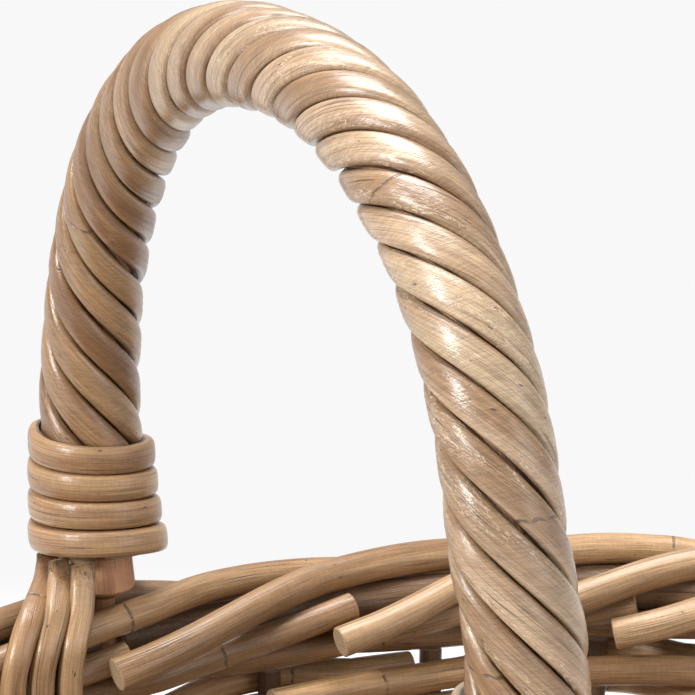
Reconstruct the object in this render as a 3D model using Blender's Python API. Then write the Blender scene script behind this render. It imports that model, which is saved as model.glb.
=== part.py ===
"""Oval rattan shopping basket with one fixed, rope-twisted bow handle.

Axes: X along the basket, Y across it, Z up, floor at Z = 0, origin under the middle.
The bow handle stands in the plane X = 0, with a leg at each long side.
"""

import math

import bmesh
import bpy
import numpy as np
from mathutils import Vector

MM = 0.001

# Clearances that every piece keeps to its neighbour
TOUCH_GAP = 0.35 * MM
TURN_GAP = 1.3 * MM

# Plan of the wall's centre line, at the rim, and how far it draws in at the floor
RIM_HALF_LENGTH = 228.0 * MM
RIM_HALF_WIDTH = 119.0 * MM
WALL_DRAW_IN = 18.0 * MM
OVAL_POWER = 2.6
OVAL_SAMPLES = 2880

# Canes of the wall
CANE_RADIUS = 5.25 * MM
STAKE_RADIUS = 3.75 * MM
ROW_GAP = 0.5 * MM
ROW_COUNT = 12
ROWS_A_COURSE = 2
STAKE_COUNT = 20
BEND_RADIUS = 14.0 * MM
FIRST_ROW_LIFT = 1.5 * MM
BEND_STEPS = 3
ROW_FITTING_PASSES = 3

# Hoops at the floor
FOOT_HOOP_RADIUS = 6.0 * MM
FOOT_HOOP_INSET = 12.0 * MM
FOOT_FLAT_DEPTH = 0.5 * MM
FOOT_HOOP_SIDES = 8
CORNER_HOOP_DEGREES = 45.0
HOOP_POINTS = 40

# Canes of the base mat
BASE_CANE_RADIUS = 4.5 * MM
BASE_EDGE_INSET = 22.5 * MM
END_RIB_LINE_COUNT = 4
BASE_NESTING_SHARE = 0.93

# Border, six rods laid round a core that stops short of the handle's tongues
BORDER_ROD_RADIUS = 5.0 * MM
BORDER_LAY_RADIUS = 13.0 * MM
BORDER_TURN_COUNT = 3
BORDER_ROD_COUNT = 6
BORDER_POINTS = 50
CORE_TONGUE_GAP = 0.8 * MM
BORDER_SPREAD_REACH = 42.0 * MM
BORDER_PART_GAP = 1.5 * MM
BORDER_FULL_SPREAD_SHARE = 0.8

# Bow handle: a round pole with six split canes laid round it
POLE_RADIUS = 10.5 * MM
POLE_RISE = 190.4 * MM
POLE_BOW_OUT = 8.0 * MM
POLE_WIDEST_ABOVE_RIM = 58.0 * MM
POLE_ARCH_POWER = 2.155
POLE_SIDES = 8
POLE_POINTS = 40
POLE_LEG_SAMPLES = 60
POLE_ARCH_SAMPLES = 200
POLE_DIRECTION_SHARE = 0.25
POLE_SWAY = 6.0 * MM
POLE_SWAY_FROM_FOOT = 46.0 * MM
POLE_SWAY_REACH = 58.0 * MM
SHOULDER_LIFT = 1.2 * MM
SHOULDER_DROP = 2.6 * MM
TONGUE_END_HEIGHT = 60.0 * MM
TONGUE_TIP_RADIUS = 1.6 * MM
TONGUE_TIP_LENGTH = 26.0 * MM

STRAND_COUNT = 6
STRAND_THICKNESS = 4.1 * MM
STRAND_LEAD = 82.0 * MM
STRAND_FOOT_LEAD = 120.0 * MM
STRAND_EASE_POWER = 3
STRAND_POINTS_A_TURN = 12
STRAND_FOOT_ABOVE_RIM = 9.0 * MM
STRAND_PHASE_DEGREES = 10.0
# Outline of one split cane in the rope: shares of its sixth of the turn and of its thickness
STRAND_TURN_SHARES = (-0.45, -0.41, -0.19, 0.19, 0.41, 0.45, 0.0)
STRAND_DEPTH_SHARES = (0.0, 0.52, 1.0, 1.0, 0.52, 0.0, 0.0)

# Binding round the foot of each leg
BINDING_TURN_COUNT = 4
BINDING_WIDTH = 8.2 * MM
BINDING_THICKNESS = 4.6 * MM
BINDING_FOOT_ABOVE_RIM = 11.6 * MM
BINDING_POINTS_A_TURN = 16
BINDING_WIDTH_SHARES = (-0.5, -0.42, -0.2, 0.2, 0.42, 0.5)
BINDING_DEPTH_SHARES = (0.0, 0.6, 1.0, 1.0, 0.6, 0.0)

# Tails of the split canes, laid down the inside of the wall
TAIL_WIDTH = 6.4 * MM
TAIL_THICKNESS = 4.0 * MM
TAIL_COUNT = 3
TAIL_WALL_GAP = 0.8 * MM
TAIL_FIRST_OFFSET = 21.0 * MM
TAIL_SPACING = 9.5 * MM
TAIL_TOP_ABOVE_RIM = 5.6 * MM
TAIL_TOP_STEP_OUT = 2.3 * MM
TAIL_DROP = 64.0 * MM
TAIL_FIRST_ANGLE_DEGREES = 226.0
TAIL_ANGLE_STEP_DEGREES = 28.0
# Where the tails bend over the border's inner side, and how far along the rim they fan out there
TAIL_BEND_DEGREES = (50.0, 25.0, 0.0)
TAIL_FAN_OFFSETS = (-6.5 * MM, -2.0 * MM, 0.0 * MM)
TAIL_FAN_SHARES = (0.92, 0.97, 1.0)
TAIL_BULGE_SHARES = (1.0, 0.5, 0.0)
TAIL_WIDTH_SHARES = (-1.0, -0.6, 0.6, 1.0, 0.7, -0.7)
TAIL_DEPTH_SHARES = (-0.4, -1.0, -1.0, -0.4, 1.0, 1.0)

# Angle past which a fold reads as an edge
SHARP_DEGREES = 50.0

# Colours
WALL_TAN = (0.36, 0.24, 0.14)
WALL_GREY = (0.33, 0.25, 0.17)
RIB_BROWN = (0.25, 0.16, 0.09)
STRAND_TAN = (0.47, 0.33, 0.19)
POLE_PEACH = (0.55, 0.28, 0.13)
LACQUER_ROUGHNESS = 0.38
DRY_ROUGHNESS = 0.6

# Heights worked out from the pieces that carry each other
RIB_BASE_HEIGHT = 2.0 * FOOT_HOOP_RADIUS - FOOT_FLAT_DEPTH + TOUCH_GAP + STAKE_RADIUS
BEND_TOP = RIB_BASE_HEIGHT + BEND_RADIUS
FIRST_ROW_HEIGHT = BEND_TOP + FIRST_ROW_LIFT
ROW_PITCH = 2.0 * CANE_RADIUS + ROW_GAP
TOP_ROW_HEIGHT = FIRST_ROW_HEIGHT + (ROW_COUNT - 1) * ROW_PITCH
WALL_TOP = TOP_ROW_HEIGHT + CANE_RADIUS
BORDER_REACH = BORDER_LAY_RADIUS + BORDER_ROD_RADIUS
BORDER_HEIGHT = WALL_TOP + TOUCH_GAP + BORDER_REACH
RIM_HEIGHT = BORDER_HEIGHT + BORDER_REACH
TONGUE_RADIUS = STAKE_RADIUS
BORDER_CORE_RADIUS = (
    BORDER_LAY_RADIUS * math.cos(math.pi * BORDER_TURN_COUNT / BORDER_POINTS)
    - BORDER_ROD_RADIUS - TOUCH_GAP
)
BORDER_PARTED = TONGUE_RADIUS + BORDER_ROD_RADIUS + BORDER_PART_GAP
BORDER_BULGE = (
    math.hypot(BORDER_PARTED, BORDER_LAY_RADIUS * math.sin(2.0 * math.pi / BORDER_ROD_COUNT))
    - BORDER_LAY_RADIUS
)
POLE_HALF_SPAN = RIM_HALF_WIDTH + POLE_BOW_OUT
ROPE_INNER = (POLE_RADIUS + TOUCH_GAP) / math.cos(math.pi / STRAND_POINTS_A_TURN)
ROPE_OUTER = ROPE_INNER + STRAND_THICKNESS


def clear_scene():
    """Remove whatever the scene holds."""
    for item in list(bpy.data.objects):
        bpy.data.objects.remove(item, do_unlink=True)


def finish(name, colour, roughness):
    """Make one Principled material."""
    material = bpy.data.materials.new(name)
    material.use_nodes = True
    shader = material.node_tree.nodes["Principled BSDF"]
    shader.inputs["Base Color"].default_value = (*colour, 1.0)
    shader.inputs["Roughness"].default_value = roughness
    shader.inputs["Metallic"].default_value = 0.0
    material.diffuse_color = (*colour, 1.0)
    return material


def loft(name, rings, material, closed=False):
    """Skin a row of point rings into one closed body; capped unless the row closes on itself."""
    mesh = bpy.data.meshes.new(name)
    body = bmesh.new()
    rows = [[body.verts.new(point) for point in ring] for ring in rings]
    sides = len(rows[0])
    count = len(rows)
    for i in range(count if closed else count - 1):
        here, there = rows[i], rows[(i + 1) % count]
        for j in range(sides):
            k = (j + 1) % sides
            body.faces.new((here[j], here[k], there[k], there[j]))
    if not closed:
        body.faces.new(tuple(reversed(rows[0])))
        body.faces.new(tuple(rows[-1]))
    bmesh.ops.recalc_face_normals(body, faces=body.faces)
    bmesh.ops.triangulate(body, faces=body.faces, quad_method="SHORT_EDGE")
    body.to_mesh(mesh)
    body.free()
    mesh.shade_smooth()
    mesh.set_sharp_from_angle(angle=math.radians(SHARP_DEGREES))
    mesh.materials.append(material)
    piece = bpy.data.objects.new(name, mesh)
    bpy.context.collection.objects.link(piece)
    return piece


def cane(name, points, radius, material, closed=False):
    """A round cane: a poly curve with a round bevel, six sides, and filled ends."""
    curve = bpy.data.curves.new(name, "CURVE")
    curve.dimensions = "3D"
    curve.bevel_depth = radius
    curve.bevel_resolution = 1
    curve.use_fill_caps = not closed
    spline = curve.splines.new("POLY")
    spline.points.add(len(points) - 1)
    for slot, point in zip(spline.points, points):
        slot.co = (*point, 1.0)
    spline.use_cyclic_u = closed
    spline.use_smooth = True
    curve.materials.append(material)
    piece = bpy.data.objects.new(name, curve)
    bpy.context.collection.objects.link(piece)
    return piece


def half_length(height):
    """Half length of the wall's centre line at a height."""
    return RIM_HALF_LENGTH - WALL_DRAW_IN * (1.0 - height / RIM_HEIGHT)


def half_width(height):
    """Half width of the wall's centre line at a height."""
    return RIM_HALF_WIDTH - WALL_DRAW_IN * (1.0 - height / RIM_HEIGHT)


def oval_shares(turn):
    """Shares of the half length and half width at an angle round the oval, from +Y towards +X."""
    across, along = math.sin(turn), math.cos(turn)
    power = 2.0 / OVAL_POWER
    return (math.copysign(abs(across) ** power, across), math.copysign(abs(along) ** power, along))


def even_turns(count):
    """Angles that give evenly spaced places round the rim, the first at +Y."""
    turns = np.linspace(0.0, 2.0 * math.pi, OVAL_SAMPLES + 1)
    shares = np.array([oval_shares(turn) for turn in turns])
    places = shares * (RIM_HALF_LENGTH, RIM_HALF_WIDTH)
    steps = np.linalg.norm(np.diff(places, axis=0), axis=1)
    run = np.concatenate(([0.0], np.cumsum(steps)))
    wanted = np.arange(count) * run[-1] / count
    return np.interp(wanted, run, turns), run[-1]


def wall_place(turn, height, outward=0.0):
    """A point on the wall at an angle and height, moved outward along the oval's normal."""
    across, along = oval_shares(turn)
    length, width = half_length(height), half_width(height)
    slope_x = math.copysign(abs(across) ** (OVAL_POWER - 1.0), across) / length
    slope_y = math.copysign(abs(along) ** (OVAL_POWER - 1.0), along) / width
    size = math.hypot(slope_x, slope_y)
    return Vector((
        length * across + outward * slope_x / size,
        width * along + outward * slope_y / size,
        height,
    ))


STAKE_TURNS, RIM_LENGTH = even_turns(STAKE_COUNT)
STAKE_SPACING = RIM_LENGTH / STAKE_COUNT


def weave_swing(inner_radius, outer_radius, spacing):
    """How far a weaver swings to pass a stake, with its slope allowed for."""
    straight = inner_radius + outer_radius + TOUCH_GAP
    slope = math.atan(2.0 * straight / spacing)
    return straight / math.cos(slope)


def distance_to_run(place, first, last):
    """Least distance from a place to the straight run between two points."""
    run = last - first
    share = min(max((place - first).dot(run) / run.length_squared, 0.0), 1.0)
    return (first + run * share - place).length


def row_points(height, row):
    """One row's corners: outside one stake and inside the next, a touch gap clear of each.

    The rows of one course pass each stake on the same side.
    """
    clear = STAKE_RADIUS + CANE_RADIUS + TOUCH_GAP
    stakes = [wall_place(turn, height) for turn in STAKE_TURNS]
    sides = [(-1) ** (row // ROWS_A_COURSE + place) for place in range(STAKE_COUNT)]
    swings = [clear] * STAKE_COUNT
    for _ in range(ROW_FITTING_PASSES):
        points = [
            wall_place(turn, height, swing * side)
            for turn, swing, side in zip(STAKE_TURNS, swings, sides)
        ]
        for place, stake in enumerate(stakes):
            before, here = points[place - 1], points[place]
            after = points[(place + 1) % STAKE_COUNT]
            near = min(distance_to_run(stake, before, here), distance_to_run(stake, here, after))
            swings[place] += clear - near
    return points


def make_wall_rows(material):
    """Closed rows of cane, one on another up the wall."""
    for row in range(ROW_COUNT):
        points = row_points(FIRST_ROW_HEIGHT + row * ROW_PITCH, row)
        cane(f"wall_row_{row + 1:02d}", points, CANE_RADIUS, material, closed=True)


def make_foot_hoop(material):
    """The hoop that the basket stands on, flat underneath."""
    rings = []
    sides = FOOT_HOOP_SIDES
    for turn in even_turns(HOOP_POINTS)[0]:
        centre_height = FOOT_HOOP_RADIUS - FOOT_FLAT_DEPTH
        middle = wall_place(turn, 0.0, -FOOT_HOOP_INSET)
        outside = (wall_place(turn, 0.0, 0.0) - middle).normalized()
        ring = []
        for side in range(sides):
            angle = 2.0 * math.pi * (side + 0.5) / sides
            reach = FOOT_HOOP_RADIUS / math.cos(math.pi / sides)
            lift = max(centre_height + reach * math.sin(angle), 0.0)
            lift = min(lift, centre_height + FOOT_HOOP_RADIUS)
            point = middle + outside * (reach * math.cos(angle))
            ring.append((point.x, point.y, lift))
        rings.append(ring)
    loft("foot_hoop", rings, material, closed=True)


def make_corner_hoop(material):
    """The hoop outside the bends of the ribs, below the first row."""
    outward, height = corner_hoop_offsets()
    points = []
    for turn in even_turns(HOOP_POINTS)[0]:
        place = wall_place(turn, BEND_TOP, outward)
        points.append((place.x, place.y, height))
    cane("corner_hoop", points, CANE_RADIUS, material, closed=True)


def rib_leg(turn, inward):
    """Points of a rib from its top down the wall and round the bend to the base."""
    top = WALL_TOP
    points = [wall_place(turn, top), wall_place(turn, 0.5 * (top + BEND_TOP))]
    foot = wall_place(turn, BEND_TOP)
    for step in range(BEND_STEPS + 1):
        bend = 0.5 * math.pi * step / BEND_STEPS
        run = BEND_RADIUS * (1.0 - math.cos(bend))
        points.append(foot + inward * run - Vector((0.0, 0.0, BEND_RADIUS * math.sin(bend))))
    return points


def cross_rib_turns():
    """Angles of the stakes that belong to the ribs that run across, on the +Y side."""
    quarter = STAKE_COUNT // 4
    places = [step for step in range(-quarter + 2, quarter - 1) if step != 0]
    return [STAKE_TURNS[place % STAKE_COUNT] for place in places]


def end_rib_turns():
    """Angles of the stakes that belong to the ribs that run lengthways, on the +X side."""
    quarter = STAKE_COUNT // 4
    return [STAKE_TURNS[quarter - 1], STAKE_TURNS[quarter], STAKE_TURNS[quarter + 1]]


def cross_rib_places():
    """Where the cross ribs and the middle stick lie along X in the base."""
    ribs = [wall_place(turn, BEND_TOP).x for turn in cross_rib_turns()]
    return sorted(ribs + [0.0])


def corner_hoop_offsets():
    """How far outside the wall's centre line the corner hoop lies, and its height."""
    bend = math.radians(CORNER_HOOP_DEGREES)
    apart = STAKE_RADIUS + CANE_RADIUS + TOUCH_GAP
    outward = -BEND_RADIUS * (1.0 - math.cos(bend)) + apart * math.cos(bend)
    height = BEND_TOP - (BEND_RADIUS + apart) * math.sin(bend)
    return outward, height


def make_middle_stick(material):
    """A straight stick across the base under the handle, between the corner hoop's sides."""
    outward, _ = corner_hoop_offsets()
    reach = half_width(BEND_TOP) + outward - CANE_RADIUS - TOUCH_GAP
    ends = [Vector((0.0, side * reach, RIB_BASE_HEIGHT)) for side in (-1.0, 1.0)]
    cane("middle_stick", ends, STAKE_RADIUS, material)


def make_cross_ribs(material):
    """Ribs that run down one long side, across the base and up the other."""
    for number, turn in enumerate(cross_rib_turns(), start=1):
        down = rib_leg(turn, Vector((0.0, -1.0, 0.0)))
        up = [Vector((point.x, -point.y, point.z)) for point in reversed(down)]
        cane(f"cross_rib_{number}", down + up, STAKE_RADIUS, material)


def base_wave(line, radius, first, last):
    """Points of one lengthways cane of the base, over one cross rib and under the next."""
    places = cross_rib_places()
    spacing = min(b - a for a, b in zip(places, places[1:]))
    nested = BASE_NESTING_SHARE * (STAKE_RADIUS + radius)
    swing = weave_swing(nested, 0.0, spacing)
    margin = 2.0 * (STAKE_RADIUS + radius)
    points = [first]
    for number, place in enumerate(places):
        if first.x + margin < place < last.x - margin:
            lift = swing * (-1) ** (number + line)
            points.append(Vector((place, first.y, RIB_BASE_HEIGHT + lift)))
    points.append(last)
    return points


def base_line_pitch():
    """Spacing of the base's lengthways canes, so that the end ribs fall on the lines."""
    turn = end_rib_turns()[0]
    return wall_place(turn, BEND_TOP).y / END_RIB_LINE_COUNT


def make_end_ribs(material):
    """Ribs that run down one end, woven along the base and up the other end."""
    lines = (END_RIB_LINE_COUNT, 0, -END_RIB_LINE_COUNT)
    for number, (turn, line) in enumerate(zip(end_rib_turns(), lines), start=1):
        right = rib_leg(turn, Vector((-1.0, 0.0, 0.0)))
        left = [Vector((-point.x, point.y, point.z)) for point in right]
        base = base_wave(line, STAKE_RADIUS, left[-1], right[-1])
        cane(f"end_rib_{number}", left + base[1:-1] + right[::-1], STAKE_RADIUS, material)


def base_edge(across):
    """Half length of the base mat at a distance across."""
    length = half_length(BEND_TOP) - BASE_EDGE_INSET
    width = half_width(BEND_TOP) - BASE_EDGE_INSET
    share = min(abs(across) / width, 1.0)
    return length * (1.0 - share ** OVAL_POWER) ** (1.0 / OVAL_POWER)


def make_base_canes(material):
    """Canes of the base mat between the end ribs."""
    pitch = base_line_pitch()
    width = half_width(BEND_TOP) - BASE_EDGE_INSET
    outer_line = int((width - 2.0 * BASE_CANE_RADIUS) / pitch)
    number = 0
    for line in range(-outer_line, outer_line + 1):
        if line in (-END_RIB_LINE_COUNT, 0, END_RIB_LINE_COUNT):
            continue
        across = line * pitch
        reach = base_edge(abs(across) + BASE_CANE_RADIUS)
        margin = 2.0 * (STAKE_RADIUS + BASE_CANE_RADIUS)
        crossed = [abs(place) for place in cross_rib_places() if abs(place) + margin < reach]
        beyond = [abs(place) for place in cross_rib_places() if abs(place) + margin >= reach]
        stop = min(beyond, default=reach + margin) - STAKE_RADIUS - BASE_CANE_RADIUS
        reach = min(reach, max([stop] + [place + BASE_CANE_RADIUS for place in crossed]))
        first = Vector((-reach, across, RIB_BASE_HEIGHT))
        last = Vector((reach, across, RIB_BASE_HEIGHT))
        number += 1
        points = base_wave(line, BASE_CANE_RADIUS, first, last)
        cane(f"base_cane_{number:02d}", points, BASE_CANE_RADIUS, material)


def border_spread(run, phase):
    """Extra outward shift of a border rod where it passes a tongue of the handle."""
    from_leg = min(run % (0.5 * RIM_LENGTH), 0.5 * RIM_LENGTH - run % (0.5 * RIM_LENGTH))
    if from_leg >= BORDER_SPREAD_REACH:
        return 0.0
    leg_run = RIM_LENGTH * round(run / (0.5 * RIM_LENGTH)) / 2.0
    leg_phase = phase - 2.0 * math.pi * BORDER_TURN_COUNT * leg_run / RIM_LENGTH
    lay = BORDER_LAY_RADIUS * math.cos(leg_phase)
    fade = 0.5 + 0.5 * math.cos(math.pi * from_leg / BORDER_SPREAD_REACH)
    fade = min(1.0, fade / BORDER_FULL_SPREAD_SHARE)
    return math.copysign(max(BORDER_PARTED - abs(lay), 0.0) * fade, lay)


def make_border_rods(material):
    """Rods laid round the core along the rim, parted at the handle's tongues."""
    turns, rim = even_turns(BORDER_POINTS)
    for rod in range(BORDER_ROD_COUNT):
        phase = 2.0 * math.pi * rod / BORDER_ROD_COUNT
        points = []
        for step, turn in enumerate(turns):
            run = rim * step / BORDER_POINTS
            angle = phase - 2.0 * math.pi * BORDER_TURN_COUNT * run / rim
            outward = BORDER_LAY_RADIUS * math.cos(angle) + border_spread(run, phase)
            lift = BORDER_LAY_RADIUS * math.sin(angle)
            place = wall_place(turn, BORDER_HEIGHT, outward)
            points.append((place.x, place.y, BORDER_HEIGHT + lift))
        cane(f"border_rod_{rod + 1}", points, BORDER_ROD_RADIUS, material, closed=True)


def make_border_cores(material):
    """The border's core: one half at each end of the basket, between the handle's tongues."""
    turns, rim = even_turns(BORDER_POINTS)
    runs = np.arange(BORDER_POINTS + 1) * rim / BORDER_POINTS
    turns = np.append(turns, 2.0 * math.pi)
    first = TONGUE_RADIUS + CORE_TONGUE_GAP
    for number, start in enumerate((0.0, 0.5 * rim), start=1):
        stop = start + 0.5 * rim - first
        inside = [turn for turn, run in zip(turns, runs) if start + first < run < stop]
        ends = np.interp((start + first, stop), runs, turns)
        course = [ends[0], *inside, ends[1]]
        points = [wall_place(turn, BORDER_HEIGHT) for turn in course]
        cane(f"border_core_{number}", points, BORDER_CORE_RADIUS, material)


def pole_line():
    """The pole's centre line in the YZ plane, from the far leg's shoulder to the near one's."""
    low = np.linspace(0.0, POLE_WIDEST_ABOVE_RIM, POLE_LEG_SAMPLES)[:-1]
    below = (POLE_WIDEST_ABOVE_RIM - low) / POLE_WIDEST_ABOVE_RIM
    low_y = POLE_HALF_SPAN - POLE_BOW_OUT * below ** 2
    turns = np.linspace(0.0, 0.5 * math.pi, POLE_ARCH_SAMPLES)
    power = 2.0 / POLE_ARCH_POWER
    high_y = POLE_HALF_SPAN * np.cos(turns) ** power
    high = POLE_WIDEST_ABOVE_RIM + (POLE_RISE - POLE_WIDEST_ABOVE_RIM) * np.sin(turns) ** power
    y = np.concatenate((low_y, high_y))
    z = np.concatenate((low, high)) + RIM_HEIGHT
    y = np.concatenate((y, -y[-2::-1]))
    z = np.concatenate((z, z[-2::-1]))
    return np.stack((y, z), axis=1)


def pole_sway(from_foot):
    """How far along X the near leg sways at a distance from its foot."""
    apart = min(abs(from_foot - POLE_SWAY_FROM_FOOT) / POLE_SWAY_REACH, 1.0)
    return POLE_SWAY * (0.5 + 0.5 * math.cos(math.pi * apart))


class PoleRun:
    """Places and directions along the pole by distance from the far shoulder."""

    def __init__(self):
        self.line = pole_line()
        steps = np.linalg.norm(np.diff(self.line, axis=0), axis=1)
        self.run = np.concatenate(([0.0], np.cumsum(steps)))
        self.length = self.run[-1]

    def place(self, run):
        """Centre point at a distance along the pole, straight on past its ends."""
        inside = min(max(run, 0.0), self.length)
        y = float(np.interp(inside, self.run, self.line[:, 0]))
        z = float(np.interp(inside, self.run, self.line[:, 1]))
        centre = Vector((pole_sway(self.length - inside), y, z))
        if run != inside:
            centre += self.along(inside) * (run - inside)
        return centre

    def along(self, run):
        """Direction of the pole at a distance along it."""
        reach = POLE_DIRECTION_SHARE * POLE_RADIUS
        low, high = max(run - reach, 0.0), min(run + reach, self.length)
        y = np.interp((low, high), self.run, self.line[:, 0])
        z = np.interp((low, high), self.run, self.line[:, 1])
        return Vector((0.0, float(y[1] - y[0]), float(z[1] - z[0]))).normalized()

    def point(self, run, angle, radius):
        """A point beside the pole: angle 0 is outside the arch, a quarter turn is +X."""
        side = Vector((1.0, 0.0, 0.0))
        outside = self.along(run).cross(side)
        beside = outside * math.cos(angle) + side * math.sin(angle)
        return self.place(run) + beside * radius


def make_pole(pole, material):
    """The bow: round over the arch, shouldered at the rim, with a tongue down each wall."""
    rings = []
    up = Vector((0.0, 0.0, 1.0))
    side = Vector((1.0, 0.0, 0.0))

    def ring(centre, along, radius):
        """Points round the pole at one place."""
        other = along.cross(side)
        return [
            centre + side * (radius * math.cos(angle)) + other * (radius * math.sin(angle))
            for angle in (2.0 * math.pi * k / POLE_SIDES for k in range(POLE_SIDES))
        ]

    def tongue(leg_side, along):
        """Rings of one tongue, from its tip up to the shoulder."""
        heights = (
            (TONGUE_END_HEIGHT, TONGUE_TIP_RADIUS),
            (TONGUE_END_HEIGHT + TONGUE_TIP_LENGTH, TONGUE_RADIUS),
            (RIM_HEIGHT - SHOULDER_DROP, TONGUE_RADIUS),
            (RIM_HEIGHT + SHOULDER_LIFT, POLE_RADIUS),
        )
        return [
            ring(Vector((0.0, leg_side * half_width(height), height)), along, radius)
            for height, radius in heights
        ]

    rings.extend(tongue(1.0, up))
    for step in range(1, POLE_POINTS):
        run = pole.length * step / POLE_POINTS
        rings.append(ring(pole.place(run), pole.along(run), POLE_RADIUS))
    rings.extend(reversed(tongue(-1.0, -up)))
    loft("handle_pole", rings, material)


def strand_lay(pole, run):
    """Turn of the strands round the pole at a distance along it, laid steeper towards its feet."""
    half = 0.5 * pole.length
    from_middle = run - half
    turns = from_middle / STRAND_LEAD
    extra = 1.0 / STRAND_FOOT_LEAD - 1.0 / STRAND_LEAD
    eased = abs(from_middle / half) ** STRAND_EASE_POWER / (STRAND_EASE_POWER + 1)
    turns += extra * from_middle * eased
    return 2.0 * math.pi * turns


def make_strands(pole, material):
    """Six split canes laid left-handed round the pole."""
    sector = 2.0 * math.pi / STRAND_COUNT
    run_first = STRAND_FOOT_ABOVE_RIM
    run_last = pole.length - STRAND_FOOT_ABOVE_RIM
    steps = round(STRAND_POINTS_A_TURN * (run_last - run_first) / STRAND_LEAD)
    middles = []
    for strand in range(STRAND_COUNT):
        rings = []
        middle = []
        for step in range(steps + 1):
            run = run_first + (run_last - run_first) * step / steps
            lay = math.radians(STRAND_PHASE_DEGREES) + sector * strand + strand_lay(pole, run)
            ring = [
                pole.point(run, lay + sector * turn, ROPE_INNER + STRAND_THICKNESS * depth)
                for turn, depth in zip(STRAND_TURN_SHARES, STRAND_DEPTH_SHARES)
            ]
            rings.append(ring)
            middle.append(pole.point(run, lay, ROPE_INNER + 0.5 * STRAND_THICKNESS))
        loft(f"handle_strand_{strand + 1}", rings, material)
        middles.append(middle)
    report_gap("handle_strand_1", middles[0], STRAND_POINTS_A_TURN // 2, STRAND_THICKNESS)


def make_binding(name, pole, run_first, direction, material):
    """One split cane wound round the strands at the foot of a leg."""
    pitch = BINDING_WIDTH + TURN_GAP
    inner = (ROPE_OUTER + TOUCH_GAP) / math.cos(math.pi / BINDING_POINTS_A_TURN)
    rings = []
    middle = []
    steps = BINDING_TURN_COUNT * BINDING_POINTS_A_TURN
    for step in range(steps + 1):
        turn = step / BINDING_POINTS_A_TURN
        run = run_first + direction * pitch * turn
        angle = 2.0 * math.pi * turn
        ring = [
            pole.point(run + direction * BINDING_WIDTH * width, angle,
                       inner + BINDING_THICKNESS * depth)
            for width, depth in zip(BINDING_WIDTH_SHARES, BINDING_DEPTH_SHARES)
        ]
        rings.append(ring)
        middle.append(pole.point(run, angle, inner))
    loft(name, rings, material)
    report_gap(name, middle, BINDING_POINTS_A_TURN // 2, BINDING_WIDTH)


def report_gap(name, points, apart, width):
    """Print the least gap of a winding to itself."""
    least = min(
        (points[i] - points[j]).length
        for i in range(len(points))
        for j in range(i + apart, len(points))
    )
    print(f"{name}: least gap {(least - width) / MM:.2f} mm")


def make_tails(leg_side, name, material):
    """Tails of the strands: from under the binding, over the border and down the wall inside."""
    border_inset = BORDER_REACH + TAIL_WALL_GAP + 0.5 * TAIL_THICKNESS
    wall_inner = weave_swing(STAKE_RADIUS, CANE_RADIUS, STAKE_SPACING) + CANE_RADIUS
    wall_inset = wall_inner + TAIL_WALL_GAP + 0.5 * TAIL_THICKNESS
    beside = POLE_RADIUS + TOUCH_GAP + 0.5 * TAIL_WIDTH
    under = POLE_RADIUS + TOUCH_GAP + 0.5 * TAIL_THICKNESS
    top = RIM_HEIGHT + TAIL_TOP_ABOVE_RIM
    low = RIM_HEIGHT - TAIL_DROP
    for number in range(TAIL_COUNT):
        angle = math.radians(TAIL_FIRST_ANGLE_DEGREES - TAIL_ANGLE_STEP_DEGREES * number)
        down_x = -TAIL_FIRST_OFFSET - TAIL_SPACING * number
        start_x = (beside + TAIL_TOP_STEP_OUT * number) * math.cos(angle)
        start_y = half_width(RIM_HEIGHT) + (under + TAIL_TOP_STEP_OUT * number) * math.sin(angle)
        points = [Vector((start_x, start_y, top))]
        bends = zip(TAIL_BEND_DEGREES, TAIL_FAN_OFFSETS, TAIL_FAN_SHARES, TAIL_BULGE_SHARES)
        for degrees, offset, fan, bulge in bends:
            bend = math.radians(degrees)
            reach = border_inset + BORDER_BULGE * bulge
            points.append(Vector((
                -TAIL_FIRST_OFFSET - offset - TAIL_SPACING * number * fan,
                half_width(BORDER_HEIGHT) - reach * math.cos(bend),
                BORDER_HEIGHT + reach * math.sin(bend),
            )))
        points.append(Vector((down_x, half_width(low) - wall_inset, low)))
        rings = [flat_ring(points, k) for k in range(len(points))]
        turned = [[(leg_side * p.x, leg_side * p.y, p.z) for p in ring] for ring in rings]
        loft(f"{name}_{number + 1}", turned, material)


def flat_ring(points, place):
    """Six points round a flat split cane at one place of its run."""
    before = points[max(place - 1, 0)]
    after = points[min(place + 1, len(points) - 1)]
    along = (after - before).normalized()
    wide = Vector((1.0, 0.0, 0.0))
    wide = (wide - along * wide.dot(along)).normalized()
    thick = along.cross(wide)
    half_wide, half_thick = 0.5 * TAIL_WIDTH, 0.5 * TAIL_THICKNESS
    return [
        points[place] + wide * (half_wide * across) + thick * (half_thick * depth)
        for across, depth in zip(TAIL_WIDTH_SHARES, TAIL_DEPTH_SHARES)
    ]


def main():
    clear_scene()
    wall = finish("cane_wall", WALL_TAN, DRY_ROUGHNESS)
    border = finish("cane_border", WALL_GREY, LACQUER_ROUGHNESS)
    ribs = finish("cane_rib", RIB_BROWN, DRY_ROUGHNESS)
    strands = finish("split_cane", STRAND_TAN, LACQUER_ROUGHNESS)
    bare = finish("bare_pole", POLE_PEACH, DRY_ROUGHNESS)

    make_foot_hoop(ribs)
    make_corner_hoop(wall)
    make_cross_ribs(ribs)
    make_end_ribs(ribs)
    make_middle_stick(ribs)
    make_base_canes(wall)
    make_wall_rows(wall)
    make_border_rods(border)
    make_border_cores(ribs)

    pole = PoleRun()
    make_pole(pole, bare)
    make_strands(pole, strands)
    make_binding("binding_far", pole, BINDING_FOOT_ABOVE_RIM, 1.0, strands)
    make_binding("binding_near", pole, pole.length - BINDING_FOOT_ABOVE_RIM, -1.0, strands)
    make_tails(1.0, "strand_tail_far", strands)
    make_tails(-1.0, "strand_tail_near", strands)


main()
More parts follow.
